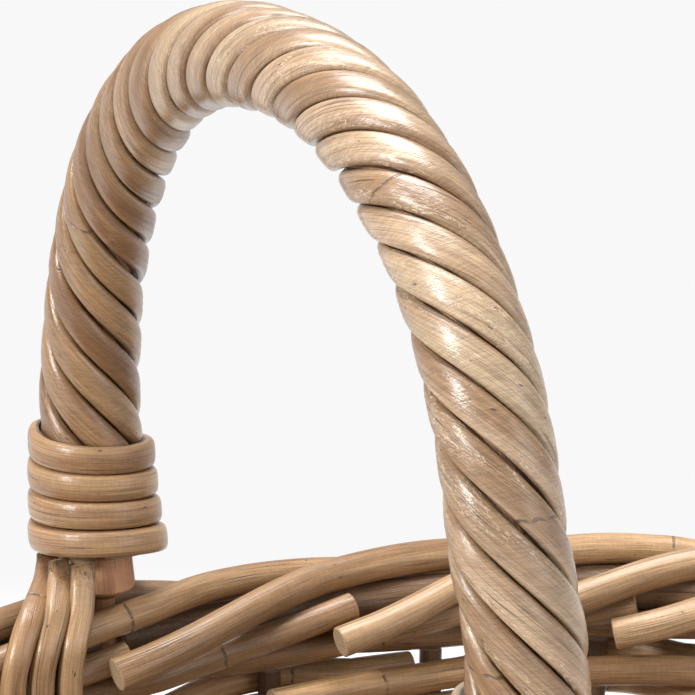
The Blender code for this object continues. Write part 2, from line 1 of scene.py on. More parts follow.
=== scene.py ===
"""Looks of an oval rattan shopping basket with one rope-twisted bow handle.

Axes as in the model: X along the basket, Y across it, Z up, floor at Z = 0.
The handle stands in the plane X = 0, its far leg on +Y and its near leg on -Y.
"""

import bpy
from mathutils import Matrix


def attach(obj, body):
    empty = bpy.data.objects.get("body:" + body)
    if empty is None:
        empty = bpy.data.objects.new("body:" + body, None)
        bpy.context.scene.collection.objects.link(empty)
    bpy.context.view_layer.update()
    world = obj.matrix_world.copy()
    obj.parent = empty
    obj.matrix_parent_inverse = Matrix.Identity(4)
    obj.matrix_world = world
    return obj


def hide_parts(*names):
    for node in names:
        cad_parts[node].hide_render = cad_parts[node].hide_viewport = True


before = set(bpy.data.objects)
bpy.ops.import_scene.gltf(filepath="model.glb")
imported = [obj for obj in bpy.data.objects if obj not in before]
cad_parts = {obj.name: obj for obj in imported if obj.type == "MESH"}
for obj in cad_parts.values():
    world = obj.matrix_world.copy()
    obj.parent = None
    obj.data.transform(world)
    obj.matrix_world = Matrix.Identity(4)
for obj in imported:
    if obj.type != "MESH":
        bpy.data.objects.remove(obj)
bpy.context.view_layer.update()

import math

import bpy
import numpy as np
from bpy.props import FloatProperty, FloatVectorProperty, IntProperty, PointerProperty
from mathutils import Matrix, Vector

bl_info = {
    "name": "Rattan shopping basket",
    "version": (1, 0, 0),
    "blender": (4, 5, 0),
    "location": "3D View > Sidebar > Basket",
    "description": "Woven oval basket of rattan canes with a rope-twisted bow handle",
    "category": "Object",
}

MM = 0.001
TURN = 2.0 * math.pi
SIDE = np.array((1.0, 0.0, 0.0))
ACROSS = np.array((0.0, 1.0, 0.0))
UP = np.array((0.0, 0.0, 1.0))
MIRROR_X = (-1.0, 1.0, 1.0)
MIRROR_Y = (1.0, -1.0, 1.0)

# Clearance that neighbouring canes keep
TOUCH_GAP = 0.35 * MM
TURN_GAP = 1.3 * MM

# Shares of the model's radius, which leave room for a cane's wavering
ROW_SHARES = (0.93, 0.985)
RIB_SHARE = 0.99
FOOT_HOOP_SHARE = 0.99
CORNER_HOOP_SHARE = 0.985
BASE_SHARE = 0.98
CORE_SHARE = 0.97

# Plan of the wall
OVAL_POWER = 2.6
OVAL_SAMPLES = 2880
BEND_RADIUS = 14.0 * MM
FIRST_ROW_LIFT = 1.5 * MM
ROW_GAP = 0.5 * MM
ROWS_A_COURSE = 2
# Laps of the two rows under the border: rib, and how far the new cane reaches past it
TOP_ROW_LAPS = (
    ((2, 64.0 * MM), (4, 64.0 * MM), (12, 40.0 * MM)),
    ((0, 52.0 * MM), (6, 46.0 * MM), (14, 52.0 * MM)),
)
# The same reach in the rows below, drawn between these
ROW_LAP_REACH = (24.0 * MM, 50.0 * MM)
# A new cane starts inside its rib: how far it stands off and then leans in, and over what distance
LAP_INSET = 1.6 * MM
LAP_INSET_RUN = 9.0 * MM
LAP_INSET_POWER = 0.7
LAP_LEAN = 2.6 * MM
LAP_LEAN_RUN = 30.0 * MM
LAP_LEAN_LIMIT = 2.0
# How far before the next cane's rib a cane ends
LAP_STOP_SHORT = 7.4 * MM

# Ribs, hoops and base mat
RIB_WALL_POINTS = 6
RIB_BEND_DEGREES = (22.5, 45.0, 67.5, 90.0)
FOOT_HOOP_INSET = 12.0 * MM
FOOT_FLAT_DEPTH = 0.5 * MM
CORNER_HOOP_DEGREES = 45.0
# Where the corner hoop's ends meet, how much further round the foot hoop's do, and the gap there
HOOP_JOINT_SHARE = 0.31
FOOT_JOINT_SHIFT = 0.4
HOOP_JOINT_GAP = 1.2 * MM
BASE_EDGE_INSET = 22.5 * MM
END_RIB_LINE_COUNT = 4
BASE_NESTING_SHARE = 0.93

# Border of six rods laid round a core
BORDER_LAY_RADIUS = 13.0 * MM
BORDER_TURN_COUNT = 3
BORDER_ROD_COUNT = 6
BORDER_STATION_COUNT = 50
BORDER_SPREAD_REACH = 42.0 * MM
BORDER_PART_GAP = 1.5 * MM
BORDER_FULL_SPREAD_SHARE = 0.8
CORE_TONGUE_GAP = 0.8 * MM
# Where a new cane starts in each border rod: distance round the rim, and tilt of its start
BORDER_LAPS = (
    ((178.0 * MM, 35.0), (590.0 * MM, 20.0), (985.0 * MM, 30.0)),
    ((262.0 * MM, 25.0), (655.0 * MM, 30.0)),
    ((326.0 * MM, 20.0), (720.0 * MM, 35.0)),
    ((392.0 * MM, 25.0), (780.0 * MM, 20.0), (1157.6 * MM, 0.0)),
    ((75.0 * MM, 35.0), (462.0 * MM, 20.0), (855.0 * MM, 25.0)),
    ((140.0 * MM, 25.0), (925.0 * MM, 30.0)),
)
LAP_COVER = 8.0 * MM
LAP_SETTLE = 78.0 * MM
# How high a new cane starts on the one before, in rod radii, and how long it stays there, in covers
LAP_LIFT_RADII = 2.08
LAP_LEVEL_COVERS = 1.3
BORDER_TAPER = (1.05, 0.93)

# Bow of the handle
POLE_WIDEST_ABOVE_RIM = 58.0 * MM
POLE_ARCH_POWER = 2.155
POLE_SWAY = 6.0 * MM
POLE_SWAY_FROM_FOOT = 46.0 * MM
POLE_SWAY_REACH = 58.0 * MM
FOOT_SWELL = 1.7 * MM
FOOT_SWELL_REACH = 150.0 * MM
SHOULDER_LIFT = 1.2 * MM
SHOULDER_DROP = 2.6 * MM
TONGUE_END_HEIGHT = 60.0 * MM
TONGUE_TIP_RADIUS = 1.6 * MM
TONGUE_TIP_LENGTH = 26.0 * MM

# Split canes round the pole
STRAND_COUNT = 6
STRAND_LEAD = 82.0 * MM
STRAND_FOOT_LEAD = 120.0 * MM
STRAND_EASE_POWER = 3
STRAND_FOOT_ABOVE_RIM = 9.0 * MM
STRAND_FOOT_TUCK = 1.6 * MM
STRAND_PHASE_DEGREES = 10.0
STRAND_STAND_OFF = 0.25 * MM
STRAND_GRAIN_HALF_WIDTH = 5.2 * MM
# Tone of each strand, from -1 for grey to 1 for light
STRAND_TONES = (0.3, -0.5, 0.6, -0.1, -0.7, 0.5)
# Seams between the strands, in strand widths: least half gap, and how much it can grow
SEAM_GAP = 0.014
SEAM_GAP_GROWTH = 0.062
# A strand's node is a low ridge with a groove in its middle
STRAND_RIDGE = 0.28 * MM
STRAND_GROOVE = 0.30 * MM
STRAND_GROOVE_REACH = 0.9 * MM

# Bindings at the legs' feet
BINDING_TURN_COUNT = 4
BINDING_STEPS_A_TURN = 48
BINDING_WIDTH = 8.2 * MM
BINDING_HALF_WIDTH_SHARE = 0.562
BINDING_FOOT_ABOVE_RIM = 11.6 * MM
BINDING_STAND_OFF = 0.45 * MM
# The first turns flare out, each turn is thinner than the one before, and both ends are thinned
BINDING_FLARE = 1.5 * MM
BINDING_FLARE_TURNS = 2.2
BINDING_FIRST_SHARE = 0.98
BINDING_LOSS_A_TURN = 0.04
BINDING_END_TURNS = 0.16
BINDING_END_SHARE = 0.22

# Tails of the strands on the inside of the wall
TAIL_COUNT = 3
TAIL_WALL_GAP = 0.8 * MM
TAIL_FIRST_OFFSET = 21.0 * MM
TAIL_SPACING = 9.5 * MM
TAIL_TOPS_ABOVE_RIM = (14.0 * MM, 9.0 * MM)
TAIL_TOP_RADIUS = 17.2 * MM
TAIL_TOP_THIN = 0.22
TAIL_THIN_RUN = 9.0 * MM
TAIL_FULL_SHARE = 1.28
TAIL_DROP = 64.0 * MM
TAIL_FIRST_ANGLE_DEGREES = 226.0
TAIL_ANGLE_STEP_DEGREES = 28.0
# Over the border: bend in degrees, offset and fan along the rim, and share of the border's bulge
TAIL_BENDS = (
    (50.0, -6.5 * MM, 0.92, 1.0),
    (25.0, -2.0 * MM, 0.97, 0.5),
    (0.0, 0.0, 1.0, 0.0),
)
TAIL_TONE_FIRST = 0.4
TAIL_TONE_STEP = 0.3

# Detail of a cane: points round it, distance between rings, sawn end, and nodes
CANE_SIDES = 14
RIB_SIDES = 12
STOUT_SIDES = 18
POLE_SIDES = 28
CANE_STEP = 3.0 * MM
STRAND_STEP = 1.6 * MM
TAIL_STEP = 1.5 * MM
SAW_CHAMFER = 0.35 * MM
SAW_RINGS = (0.92, 0.5, 0.0)
DRAWN_RINGS = (0.6, 0.0)
NODE_SWELL = 0.04
NODE_REACH = 3.0 * MM
SMOOTH_DEGREES = 38.0
# How far a cane's section is from round
OVAL_SHARE = 0.02
# Metres by which each cane's grain is shifted for its seed, so that no two look alike
GRAIN_SHIFT = 0.83
GRAIN_SHIFT_LIMIT = 40.0

# Values that wander along a line: first seed, length of a wave, and how far they wander
WANDERINGS = {
    "cane_in_long_waves": (0, 45.0 * MM, 1.0),
    "cane_in_short_waves": (1, 12.0 * MM, 0.4),
    "oval_twist": (2, 150.0 * MM, 6.0),
    "row_outward": (40, 30.0 * MM, 0.25 * MM),
    "row_upward": (41, 50.0 * MM, 0.22 * MM),
    "border_upward": (430, 70.0 * MM, 0.5 * MM),
    "pole_thickness": (51, 20.0 * MM, 0.012),
    "seam": (60, 70.0 * MM, 0.014),
    "seam_gap": (80, 45.0 * MM, 1.0),
    "strand_thickness": (90, 40.0 * MM, 0.07),
    "strand_lean": (110, 60.0 * MM, 0.10),
    "binding_thickness": (33, 30.0 * MM, 0.06),
    "binding_width": (34, 30.0 * MM, 0.02),
    "tail_width": (650, 20.0 * MM, 0.05),
    "tail_thickness": (659, 20.0 * MM, 0.05),
}
# First seeds of the other random draws
SEEDS = {
    "node_places": 5000,
    "tone": 9000,
    "row_laps": 700,
    "row": 100,
    "cross_rib": 300,
    "end_rib": 320,
    "middle_stick": 331,
    "base_cane": 340,
    "corner_hoop": 361,
    "foot_hoop": 362,
    "border_cane": 400,
    "border_core": 450,
    "strand": 500,
    "binding": 620,
    "tail": 640,
}

# Fitted camera
CAMERA_AZIMUTH = -28.78
CAMERA_ELEVATION = 15.97
CAMERA_ROLL = 0.80
CAMERA_DISTANCE = 0.9098
CAMERA_TARGET = (0.0, -0.0401, 0.3139)
CAMERA_FOCAL_SHARE = 3400.0 / 695.0
SENSOR_WIDTH = 36.0
CLIP_START = 0.05
CLIP_END = 50.0

# Studio
BACKDROP_WHITE = 0.939
WORLD_STRENGTH = 0.44
FLOOR_SIZE = 24.0
# Distances from the middle at which the floor's shadow starts to fade and is gone
SHADOW_FADE = (0.36, 0.68)
LAMP_TARGET = (0.0, 0.0, 0.27)
# Name, place, size and power of each lamp
LAMPS = (
    ("key_lamp", (-1.2, -0.25, 0.95), 0.42, 18.0),
    ("top_lamp", (0.1, 0.35, 1.7), 1.0, 39.0),
    ("fill_lamp", (0.9, -1.6, 0.9), 1.1, 8.5),
)

# Painted shade along the basket: darker and browner towards the far side, and on some canes low on the
# legs
FAR_SHADE_FROM = 10.0 * MM
FAR_SHADE_TO = 110.0 * MM
# Heights between which the painted shade low on the legs fades out
FOOT_SHADE_LOW = 242.0 * MM
FOOT_SHADE_HIGH = 282.0 * MM
FAR_SIDE_WEAR_LOSS = 0.8

# Surface of the rattan
SEAM_RAGGED = 4.4 * MM
NODE_LINE_WAVER = 1.3 * MM
BUMP_STRENGTH = 0.8
BUMP_DEPTH = 0.20 * MM
COAT_ROUGHNESS = 0.16
# Fineness across and along the cane, detail, roughness and distortion of each noise
RATTAN_NOISES = {
    "hue": (60.0, 5.0, 2.0, 0.5, 0.0),
    "patch": (95.0, 9.0, 3.0, 0.5, 0.0),
    "streak": (800.0, 16.0, 4.0, 0.6, 0.0),
    "fibre": (3300.0, 70.0, 3.0, 0.6, 0.0),
    "hair": (520.0, 6.0, 1.0, 0.5, 0.0),
    "hairy_patch": (260.0, 22.0, 2.0, 0.5, 0.0),
    "cross_ribs": (330.0, 1750.0, 1.0, 0.5, 0.0),
    "wear": (900.0, 130.0, 6.0, 0.72, 0.4),
    "crackle": (330.0, 70.0, 5.0, 0.62, 0.6),
    "flaking_patch": (70.0, 16.0, 1.0, 0.5, 0.0),
    "specks": (620.0, 330.0, 2.0, 0.5, 0.0),
    "wobble": (420.0, 40.0, 2.0, 0.5, 0.0),
    "seam_dirt_and_shade": (150.0, 55.0, 4.0, 0.6, 0.0),
    "pores": (2100.0, 0.0, 2.0, 0.5, 0.0),
}


def length_prop(name, description, millimetres):
    """A length that a user can change."""
    return FloatProperty(
        name=name, description=description, default=millimetres * MM, min=0.0,
        unit="LENGTH", precision=5,
    )


def colour_prop(name, description, colour):
    """A colour that a user can change."""
    return FloatVectorProperty(
        name=name, description=description, default=colour, size=3, min=0.0, max=1.0,
        subtype="COLOR",
    )


class BasketSizes(bpy.types.PropertyGroup):
    """Sizes of the basket's wall, base and handle."""

    rim_half_length: length_prop("Rim half length", "Half length of the wall at the rim", 228.0)
    rim_half_width: length_prop("Rim half width", "Half width of the wall at the rim", 119.0)
    wall_draw_in: length_prop("Draw-in", "How much narrower the wall is at the floor", 18.0)
    cane_radius: length_prop("Wall cane radius", "Radius of the wall's canes", 5.25)
    stake_radius: length_prop("Rib radius", "Radius of the upright ribs", 3.75)
    foot_radius: length_prop("Foot hoop radius", "Radius of the hoop it stands on", 6.0)
    base_radius: length_prop("Base cane radius", "Radius of the base mat's canes", 4.5)
    rod_radius: length_prop("Border rod radius", "Radius of the border's rods", 5.0)
    pole_radius: length_prop("Pole radius", "Radius of the handle's pole", 10.5)
    pole_rise: length_prop("Handle height", "Height of the pole's line over the rim", 190.4)
    pole_bow_out: length_prop("Handle bow-out", "How far the legs bow past the wall", 8.0)
    strand_thickness: length_prop("Split cane thickness", "Thickness of the wrapping", 4.1)
    binding_thickness: length_prop("Binding thickness", "Thickness of the foot binding", 4.6)
    tail_width: length_prop("Tail width", "Width of the split canes' tails", 6.4)
    tail_thickness: length_prop("Tail thickness", "Thickness of the split canes' tails", 4.0)
    row_count: IntProperty(name="Rows", description="Rows of cane up the wall", default=12, min=3)
    stake_count: IntProperty(name="Ribs", description="Rib ends round the wall", default=20, min=8)


class BasketColours(bpy.types.PropertyGroup):
    """Colours of the canes and the stage."""

    split_light: colour_prop("Split cane, light", "Lacquered tan of the wrapping", (0.505, 0.362, 0.222))
    split_dark: colour_prop("Split cane, dark", "Brown streaks of the wrapping", (0.300, 0.172, 0.088))
    split_grey: colour_prop("Split cane, grey", "Pinkish tan of some split canes", (0.510, 0.345, 0.212))
    wall_grey: colour_prop("Wall cane, grey", "Greyer brown of some wall canes", (0.450, 0.310, 0.190))
    wall_light: colour_prop("Wall cane, light", "Tan of the wall's canes", (0.590, 0.395, 0.222))
    wall_dark: colour_prop("Wall cane, dark", "Brown of the wall's canes", (0.310, 0.182, 0.090))
    rib_light: colour_prop("Rib, light", "Lighter brown of the ribs", (0.300, 0.190, 0.112))
    rib_dark: colour_prop("Rib, dark", "Darker brown of the ribs", (0.130, 0.076, 0.044))
    pole_light: colour_prop("Bare pole, light", "Peach of the bare pole", (0.820, 0.480, 0.280))
    pole_dark: colour_prop("Bare pole, dark", "Red-brown of the bare pole", (0.520, 0.255, 0.130))
    # This dark brown also paints the shade deep in the split canes' seams
    grime_and_seam_shade: colour_prop("Grime", "Dark brown in cracks and gaps", (0.030, 0.015, 0.009))
    scuff: colour_prop("Scuffs", "Pale worn fibres", (0.700, 0.560, 0.400))
    sawn_end: colour_prop("Sawn end", "Pale end grain", (0.520, 0.375, 0.235))
    floor: colour_prop("Floor", "Pale studio floor", (0.86, 0.86, 0.86))


def sizes():
    """The basket's sizes in this scene."""
    return bpy.context.scene.basket_sizes


def colours():
    """The basket's colours in this scene."""
    return bpy.context.scene.basket_colours


# Heights and plan, as in the model


def base_height():
    """Height of the ribs' centre line under the base."""
    size = sizes()
    return 2.0 * size.foot_radius - FOOT_FLAT_DEPTH + TOUCH_GAP + size.stake_radius


def bend_top():
    """Height at which a rib's bend turns into the wall."""
    return base_height() + BEND_RADIUS


def row_height(row):
    """Height of one row's centre line."""
    return bend_top() + FIRST_ROW_LIFT + row * (2.0 * sizes().cane_radius + ROW_GAP)


def wall_top():
    """Height of the top of the last row."""
    return row_height(sizes().row_count - 1) + sizes().cane_radius


def border_reach():
    """Half thickness of the border."""
    return BORDER_LAY_RADIUS + sizes().rod_radius


def border_height():
    """Height of the border's middle."""
    return wall_top() + TOUCH_GAP + border_reach()


def rim_height():
    """Height of the top of the border."""
    return border_height() + border_reach()


def half_length(height):
    """Half length of the wall's centre line at a height."""
    return sizes().rim_half_length - sizes().wall_draw_in * (1.0 - height / rim_height())


def half_width(height):
    """Half width of the wall's centre line at a height."""
    return sizes().rim_half_width - sizes().wall_draw_in * (1.0 - height / rim_height())


def oval_shares(turn):
    """Shares of the half length and half width at angles from +Y towards +X."""
    across, along = np.sin(turn), np.cos(turn)
    power = 2.0 / OVAL_POWER
    return np.sign(across) * np.abs(across) ** power, np.sign(along) * np.abs(along) ** power


def rim_table():
    """Distances round the rim and the angles that belong to them."""
    turns = np.linspace(0.0, TURN, OVAL_SAMPLES + 1)
    across, along = oval_shares(turns)
    places = np.stack((across * sizes().rim_half_length, along * sizes().rim_half_width), axis=1)
    steps = np.linalg.norm(np.diff(places, axis=0), axis=1)
    return np.concatenate(([0.0], np.cumsum(steps))), turns


def rim_length():
    """Distance once round the rim."""
    return rim_table()[0][-1]


def wall_place(run, height, outward=0.0):
    """Points of the wall at distances round the rim, moved along the oval's normal."""
    runs, turns = rim_table()
    run = np.asarray(run, dtype=float)
    height = np.broadcast_to(np.asarray(height, dtype=float), run.shape)
    across, along = oval_shares(np.interp(run % runs[-1], runs, turns))
    length, width = half_length(height), half_width(height)
    slope_x = np.sign(across) * np.abs(across) ** (OVAL_POWER - 1.0) / length
    slope_y = np.sign(along) * np.abs(along) ** (OVAL_POWER - 1.0) / width
    size = np.hypot(slope_x, slope_y)
    return np.stack((
        length * across + outward * slope_x / size,
        width * along + outward * slope_y / size,
        height,
    ), axis=-1)


def rib_spacing():
    """Distance between two ribs round the rim."""
    return rim_length() / sizes().stake_count


def stake_runs():
    """Distances round the rim at which the ribs stand."""
    return np.arange(sizes().stake_count) * rim_length() / sizes().stake_count


def rib_clearance():
    """Distance between a rib's middle line and that of a wall cane that passes it."""
    return sizes().stake_radius + sizes().cane_radius + TOUCH_GAP


def corner_swing(clearance, spacing):
    """How far the corners of a slanting weave swing out, so that it keeps its clearance."""
    return clearance / math.cos(math.atan(2.0 * clearance / spacing))


# Smooth lines and canes


def unit(vectors):
    """Vectors of length one."""
    return vectors / np.maximum(np.linalg.norm(vectors, axis=-1, keepdims=True), 1e-12)


def ease(share):
    """A share from 0 to 1 that sets off and arrives gently."""
    return share * share * (3.0 - 2.0 * share)


def wander(run, kind, number=0, low=-1.0, high=1.0):
    """One kind of smooth, seeded value that wanders along a line."""
    first_seed, wavelength, reach = WANDERINGS[kind]
    draw = np.random.default_rng(first_seed + number)
    run = np.asarray(run, dtype=float)
    count = int(np.ptp(run) / wavelength) + 5
    values = draw.uniform(low, high, count)
    place = (run - run.min()) / wavelength + draw.uniform(0.0, 1.0)
    left = np.floor(place).astype(int)
    share = ease(place - left)
    return reach * (values[left] * (1.0 - share) + values[left + 1] * share)


def run_along(path):
    """Distance of each station from the line's start."""
    steps = np.linalg.norm(np.diff(path, axis=0), axis=1)
    return np.concatenate(([0.0], np.cumsum(steps)))


def smooth_path(points, step):
    """A smooth line through points, with stations a step apart."""
    points = np.asarray(points, dtype=float)
    spans = np.linalg.norm(np.diff(points, axis=0), axis=1) ** 0.5
    knots = np.concatenate(([0.0], np.cumsum(spans)))
    tangents = np.gradient(points, knots, axis=0)
    fine = []
    for i, span in enumerate(spans):
        count = max(int(span * span / step * 2.0), 4)
        t = np.linspace(0.0, 1.0, count, endpoint=False)[:, None]
        start = (2.0 * t ** 3 - 3.0 * t ** 2 + 1.0) * points[i]
        leave = (t ** 3 - 2.0 * t ** 2 + t) * span * tangents[i]
        stop = (3.0 * t ** 2 - 2.0 * t ** 3) * points[i + 1]
        arrive = (t ** 3 - t ** 2) * span * tangents[i + 1]
        fine.append(start + leave + stop + arrive)
    fine = np.vstack(fine + [points[-1:]])
    run = run_along(fine)
    wanted = np.linspace(0.0, run[-1], max(int(run[-1] / step), 4) + 1)
    return np.stack([np.interp(wanted, run, fine[:, k]) for k in range(3)], axis=1)


def line_frames(path, first_side):
    """Directions along a line, and two across it that turn as little as they can."""
    along = unit(np.gradient(path, axis=0))
    side = np.empty_like(path)
    side[0] = first_side - along[0] * np.dot(first_side, along[0])
    side[0] /= np.linalg.norm(side[0])
    for i in range(1, len(path)):
        turned = side[i - 1] - along[i] * np.dot(side[i - 1], along[i])
        side[i] = turned / np.linalg.norm(turned)
    return along, side, np.cross(along, side)


def ring_spokes(side, other, count):
    """Angles of the points round a ring, and the way out to them at each station of a line."""
    angles = TURN * np.arange(count) / count
    spokes = side[:, None, :] * np.cos(angles)[None, :, None]
    return angles, spokes + other[:, None, :] * np.sin(angles)[None, :, None]


def grain_layer(across, depth, run):
    """Place of each point on its cane: across it, in its depth, and along its run."""
    return np.stack(np.broadcast_arrays(across, depth, run), axis=-1)


def mark_layer(nodes, sides, tone):
    """Marks of each point: distance from a node, whether it is on a cut end, and the cane's tone."""
    marks = np.zeros((len(nodes), sides, 3))
    marks[:, :, 0] = nodes[:, None]
    marks[:, :, 2] = tone
    return marks


def node_distances(run, seed, first=(0.03, 0.16), step=(0.15, 0.26)):
    """Signed distance of each station from the nearest growth node of the cane."""
    draw = np.random.default_rng(seed + SEEDS["node_places"])
    places = [draw.uniform(*first)]
    while places[-1] < run[-1] + step[1]:
        places.append(places[-1] + draw.uniform(*step))
    apart = run[:, None] - np.array(places)[None, :]
    return apart[np.arange(len(run)), np.abs(apart).argmin(axis=1)]


def closed_ends(layers, middles, faces, shares, grain_shares):
    """Close both ends with rings drawn in to each face's centre, and mark them as cut."""
    rings, grain, marks = layers
    caps = []
    for end, middle, face in zip((0, -1), middles, faces):
        cut = np.repeat(marks[end][None], len(shares), axis=0)
        cut[:, :, 1] = 1.0
        caps.append((
            np.stack([face + (rings[end] - middle) * share for share in shares]),
            np.stack([grain[end] * (share, share, 1.0) for share in grain_shares]),
            cut,
        ))
    return [
        np.concatenate((start[::-1], layer, stop))
        for start, layer, stop in zip(caps[0], layers, caps[1])
    ]


def sawn_ends(layers, path, along):
    """Close a round cane's ends with a small chamfer and a flat face."""
    middles = path[[0, -1]]
    faces = middles + along[[0, -1]] * ((-SAW_CHAMFER,), (SAW_CHAMFER,))
    return closed_ends(layers, middles, faces, SAW_RINGS, SAW_RINGS)


def drawn_ends(layers):
    """Close a split cane's ends by drawing each end ring to its own middle."""
    middles = [layers[0][end].mean(axis=0) for end in (0, -1)]
    return closed_ends(layers, middles, middles, DRAWN_RINGS, (1.0, 1.0))


def rolled_grid(name, rings, grain, marks):
    """A grid rolled round a line's rings, with its seam merged; grain and marks go with it."""
    count, sides = rings.shape[:2]
    bpy.ops.object.select_all(action="DESELECT")
    bpy.ops.mesh.primitive_grid_add(x_subdivisions=sides, y_subdivisions=count - 1, size=1.0)
    piece = bpy.context.object
    piece.name = name
    mesh = piece.data
    mesh.name = name
    flat = np.empty(len(mesh.vertices) * 3, np.float32)
    mesh.vertices.foreach_get("co", flat)
    column = np.rint((flat[0::3] + 0.5) * sides).astype(int) % sides
    row = np.rint((flat[1::3] + 0.5) * (count - 1)).astype(int)
    mesh.vertices.foreach_set("co", rings[row, column].astype(np.float32).ravel())
    for key, values in (("grain", grain), ("marks", marks)):
        layer = mesh.attributes.new(key, "FLOAT_VECTOR", "POINT")
        layer.data.foreach_set("vector", values[row, column].astype(np.float32).ravel())
    bpy.ops.object.mode_set(mode="EDIT")
    bpy.ops.mesh.select_all(action="SELECT")
    bpy.ops.mesh.remove_doubles(threshold=1e-7)
    bpy.ops.mesh.normals_make_consistent(inside=False)
    bpy.ops.object.mode_set(mode="OBJECT")
    bpy.ops.object.shade_smooth_by_angle(angle=math.radians(SMOOTH_DEGREES))
    return piece


def cane(name, path, radius, seed, sides=CANE_SIDES, first_side=UP, waver=0.03, taper=(1.0, 1.0)):
    """One round cane along a line: it wavers in thickness, swells at nodes, and has sawn ends."""
    run = run_along(path)
    along, side, other = line_frames(path, first_side)
    nodes = node_distances(run, seed)
    thick = 1.0 + waver * wander(run, "cane_in_long_waves", seed)
    thick = thick + waver * wander(run, "cane_in_short_waves", seed)
    thick = thick + NODE_SWELL * np.exp(-(nodes / NODE_REACH) ** 2)
    thick = thick * np.interp(run, (0.0, run[-1]), taper)
    angles, spokes = ring_spokes(side, other, sides)
    twist = wander(run, "oval_twist", seed)
    oval = 1.0 + OVAL_SHARE * np.sin(2.0 * angles[None, :] + twist[:, None])
    reach = (radius * thick)[:, None] * oval
    rings = path[:, None, :] + spokes * reach[:, :, None]
    shifted = run[:, None] + GRAIN_SHIFT * seed % GRAIN_SHIFT_LIMIT
    grain = grain_layer(np.cos(angles) * reach, np.sin(angles) * reach, shifted)
    tone = np.random.default_rng(seed + SEEDS["tone"]).uniform(-1.0, 1.0)
    layers = (rings, grain, mark_layer(nodes, sides, tone))
    return rolled_grid(name, *sawn_ends(layers, path, along))


def join_pieces(name, pieces):
    """Several canes joined into one piece."""
    bpy.ops.object.select_all(action="DESELECT")
    for piece in pieces:
        piece.select_set(True)
    bpy.context.view_layer.objects.active = pieces[0]
    if len(pieces) > 1:
        bpy.ops.object.join()
    joined = bpy.context.object
    joined.name = name
    joined.data.name = name
    return joined


def dress(piece, finish, replaced):
    """Give a finished piece its material and slot and its body, and hide the node that it stands for."""
    piece.data.materials.clear()
    piece.data.materials.append(finish_named(finish))
    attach(piece, "root")
    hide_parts(replaced)


# Materials


class Recipe:
    """Builds the nodes of one material or of the world."""

    def __init__(self, owner):
        self.owner = owner
        owner.use_nodes = True
        self.nodes = owner.node_tree.nodes
        self.links = owner.node_tree.links
        self.nodes.clear()
        self.colour = None

    def add(self, kind, **settings):
        """A node with its settings."""
        node = self.nodes.new(kind)
        for key, value in settings.items():
            setattr(node, key, value)
        return node

    def feed(self, socket, value):
        """Link a socket, or set its value."""
        if isinstance(value, bpy.types.NodeSocket):
            self.links.new(value, socket)
        else:
            socket.default_value = value

    def attribute(self, name):
        """A vector attribute of the piece."""
        return self.add("ShaderNodeAttribute", attribute_name=name).outputs["Vector"]

    def split(self, vector):
        """The three parts of a vector."""
        node = self.add("ShaderNodeSeparateXYZ")
        self.feed(node.inputs[0], vector)
        return node.outputs

    def maths(self, operation, first, second=0.0, third=0.0, clamp=False):
        """One sum of numbers."""
        node = self.add("ShaderNodeMath", operation=operation, use_clamp=clamp)
        for socket, value in zip(node.inputs, (first, second, third)):
            self.feed(socket, value)
        return node.outputs[0]

    def noise(self, vector, kind, fine=1.0):
        """One of the rattan's noises, made finer across the cane."""
        across, along, *shape = RATTAN_NOISES[kind]
        stretched = self.add("ShaderNodeVectorMath", operation="MULTIPLY")
        self.feed(stretched.inputs[0], vector)
        stretched.inputs[1].default_value = (across * fine, across * fine, along)
        node = self.add("ShaderNodeTexNoise")
        self.feed(node.inputs["Vector"], stretched.outputs[0])
        for key, value in zip(("Scale", "Detail", "Roughness", "Distortion"), (1.0, *shape)):
            node.inputs[key].default_value = value
        return node.outputs["Fac"]

    def crease(self, noise):
        """How far a noise is from its middle value, which runs in thin winding lines."""
        return self.maths("ABSOLUTE", self.maths("SUBTRACT", noise, 0.5))

    def window(self, value, low, high, first=0.0, second=1.0):
        """A value eased from first at low to second at high."""
        node = self.add("ShaderNodeMapRange", interpolation_type="SMOOTHSTEP")
        self.feed(node.inputs[0], value)
        for socket, number in zip(node.inputs[1:5], (low, high, first, second)):
            socket.default_value = number
        return node.outputs[0]

    def mix(self, factor, first, second, blend="MIX"):
        """Two colours mixed."""
        node = self.add("ShaderNodeMix", data_type="RGBA", blend_type=blend)
        self.feed(node.inputs[0], factor)
        for socket, value in ((node.inputs[6], first), (node.inputs[7], second)):
            if isinstance(value, bpy.types.NodeSocket):
                self.links.new(value, socket)
            else:
                socket.default_value = (*value, 1.0)
        return node.outputs[2]

    def lay(self, factor, colour, blend="MIX"):
        """Lay a colour over the one that is there."""
        self.colour = self.mix(factor, self.colour, colour, blend)

    def shade(self, share):
        """Make the colour that is there lighter or darker."""
        node = self.add("ShaderNodeVectorMath", operation="SCALE")
        self.feed(node.inputs[0], self.colour)
        self.feed(node.inputs["Scale"], share)
        self.colour = node.outputs[0]

    def glow(self, kind, level, strength=1.0):
        """Even grey light."""
        node = self.add(kind)
        node.inputs["Color"].default_value = (level, level, level, 1.0)
        node.inputs["Strength"].default_value = strength
        return node.outputs[0]

    def blend(self, factor, first, second):
        """Two shaders mixed."""
        node = self.add("ShaderNodeMixShader")
        for socket, value in zip(node.inputs, (factor, first, second)):
            self.feed(socket, value)
        return node.outputs[0]

    def surface(self, shader, kind="ShaderNodeOutputMaterial"):
        """Put a shader on the surface and give back what was built."""
        self.feed(self.add(kind).inputs["Surface"], shader)
        return self.owner


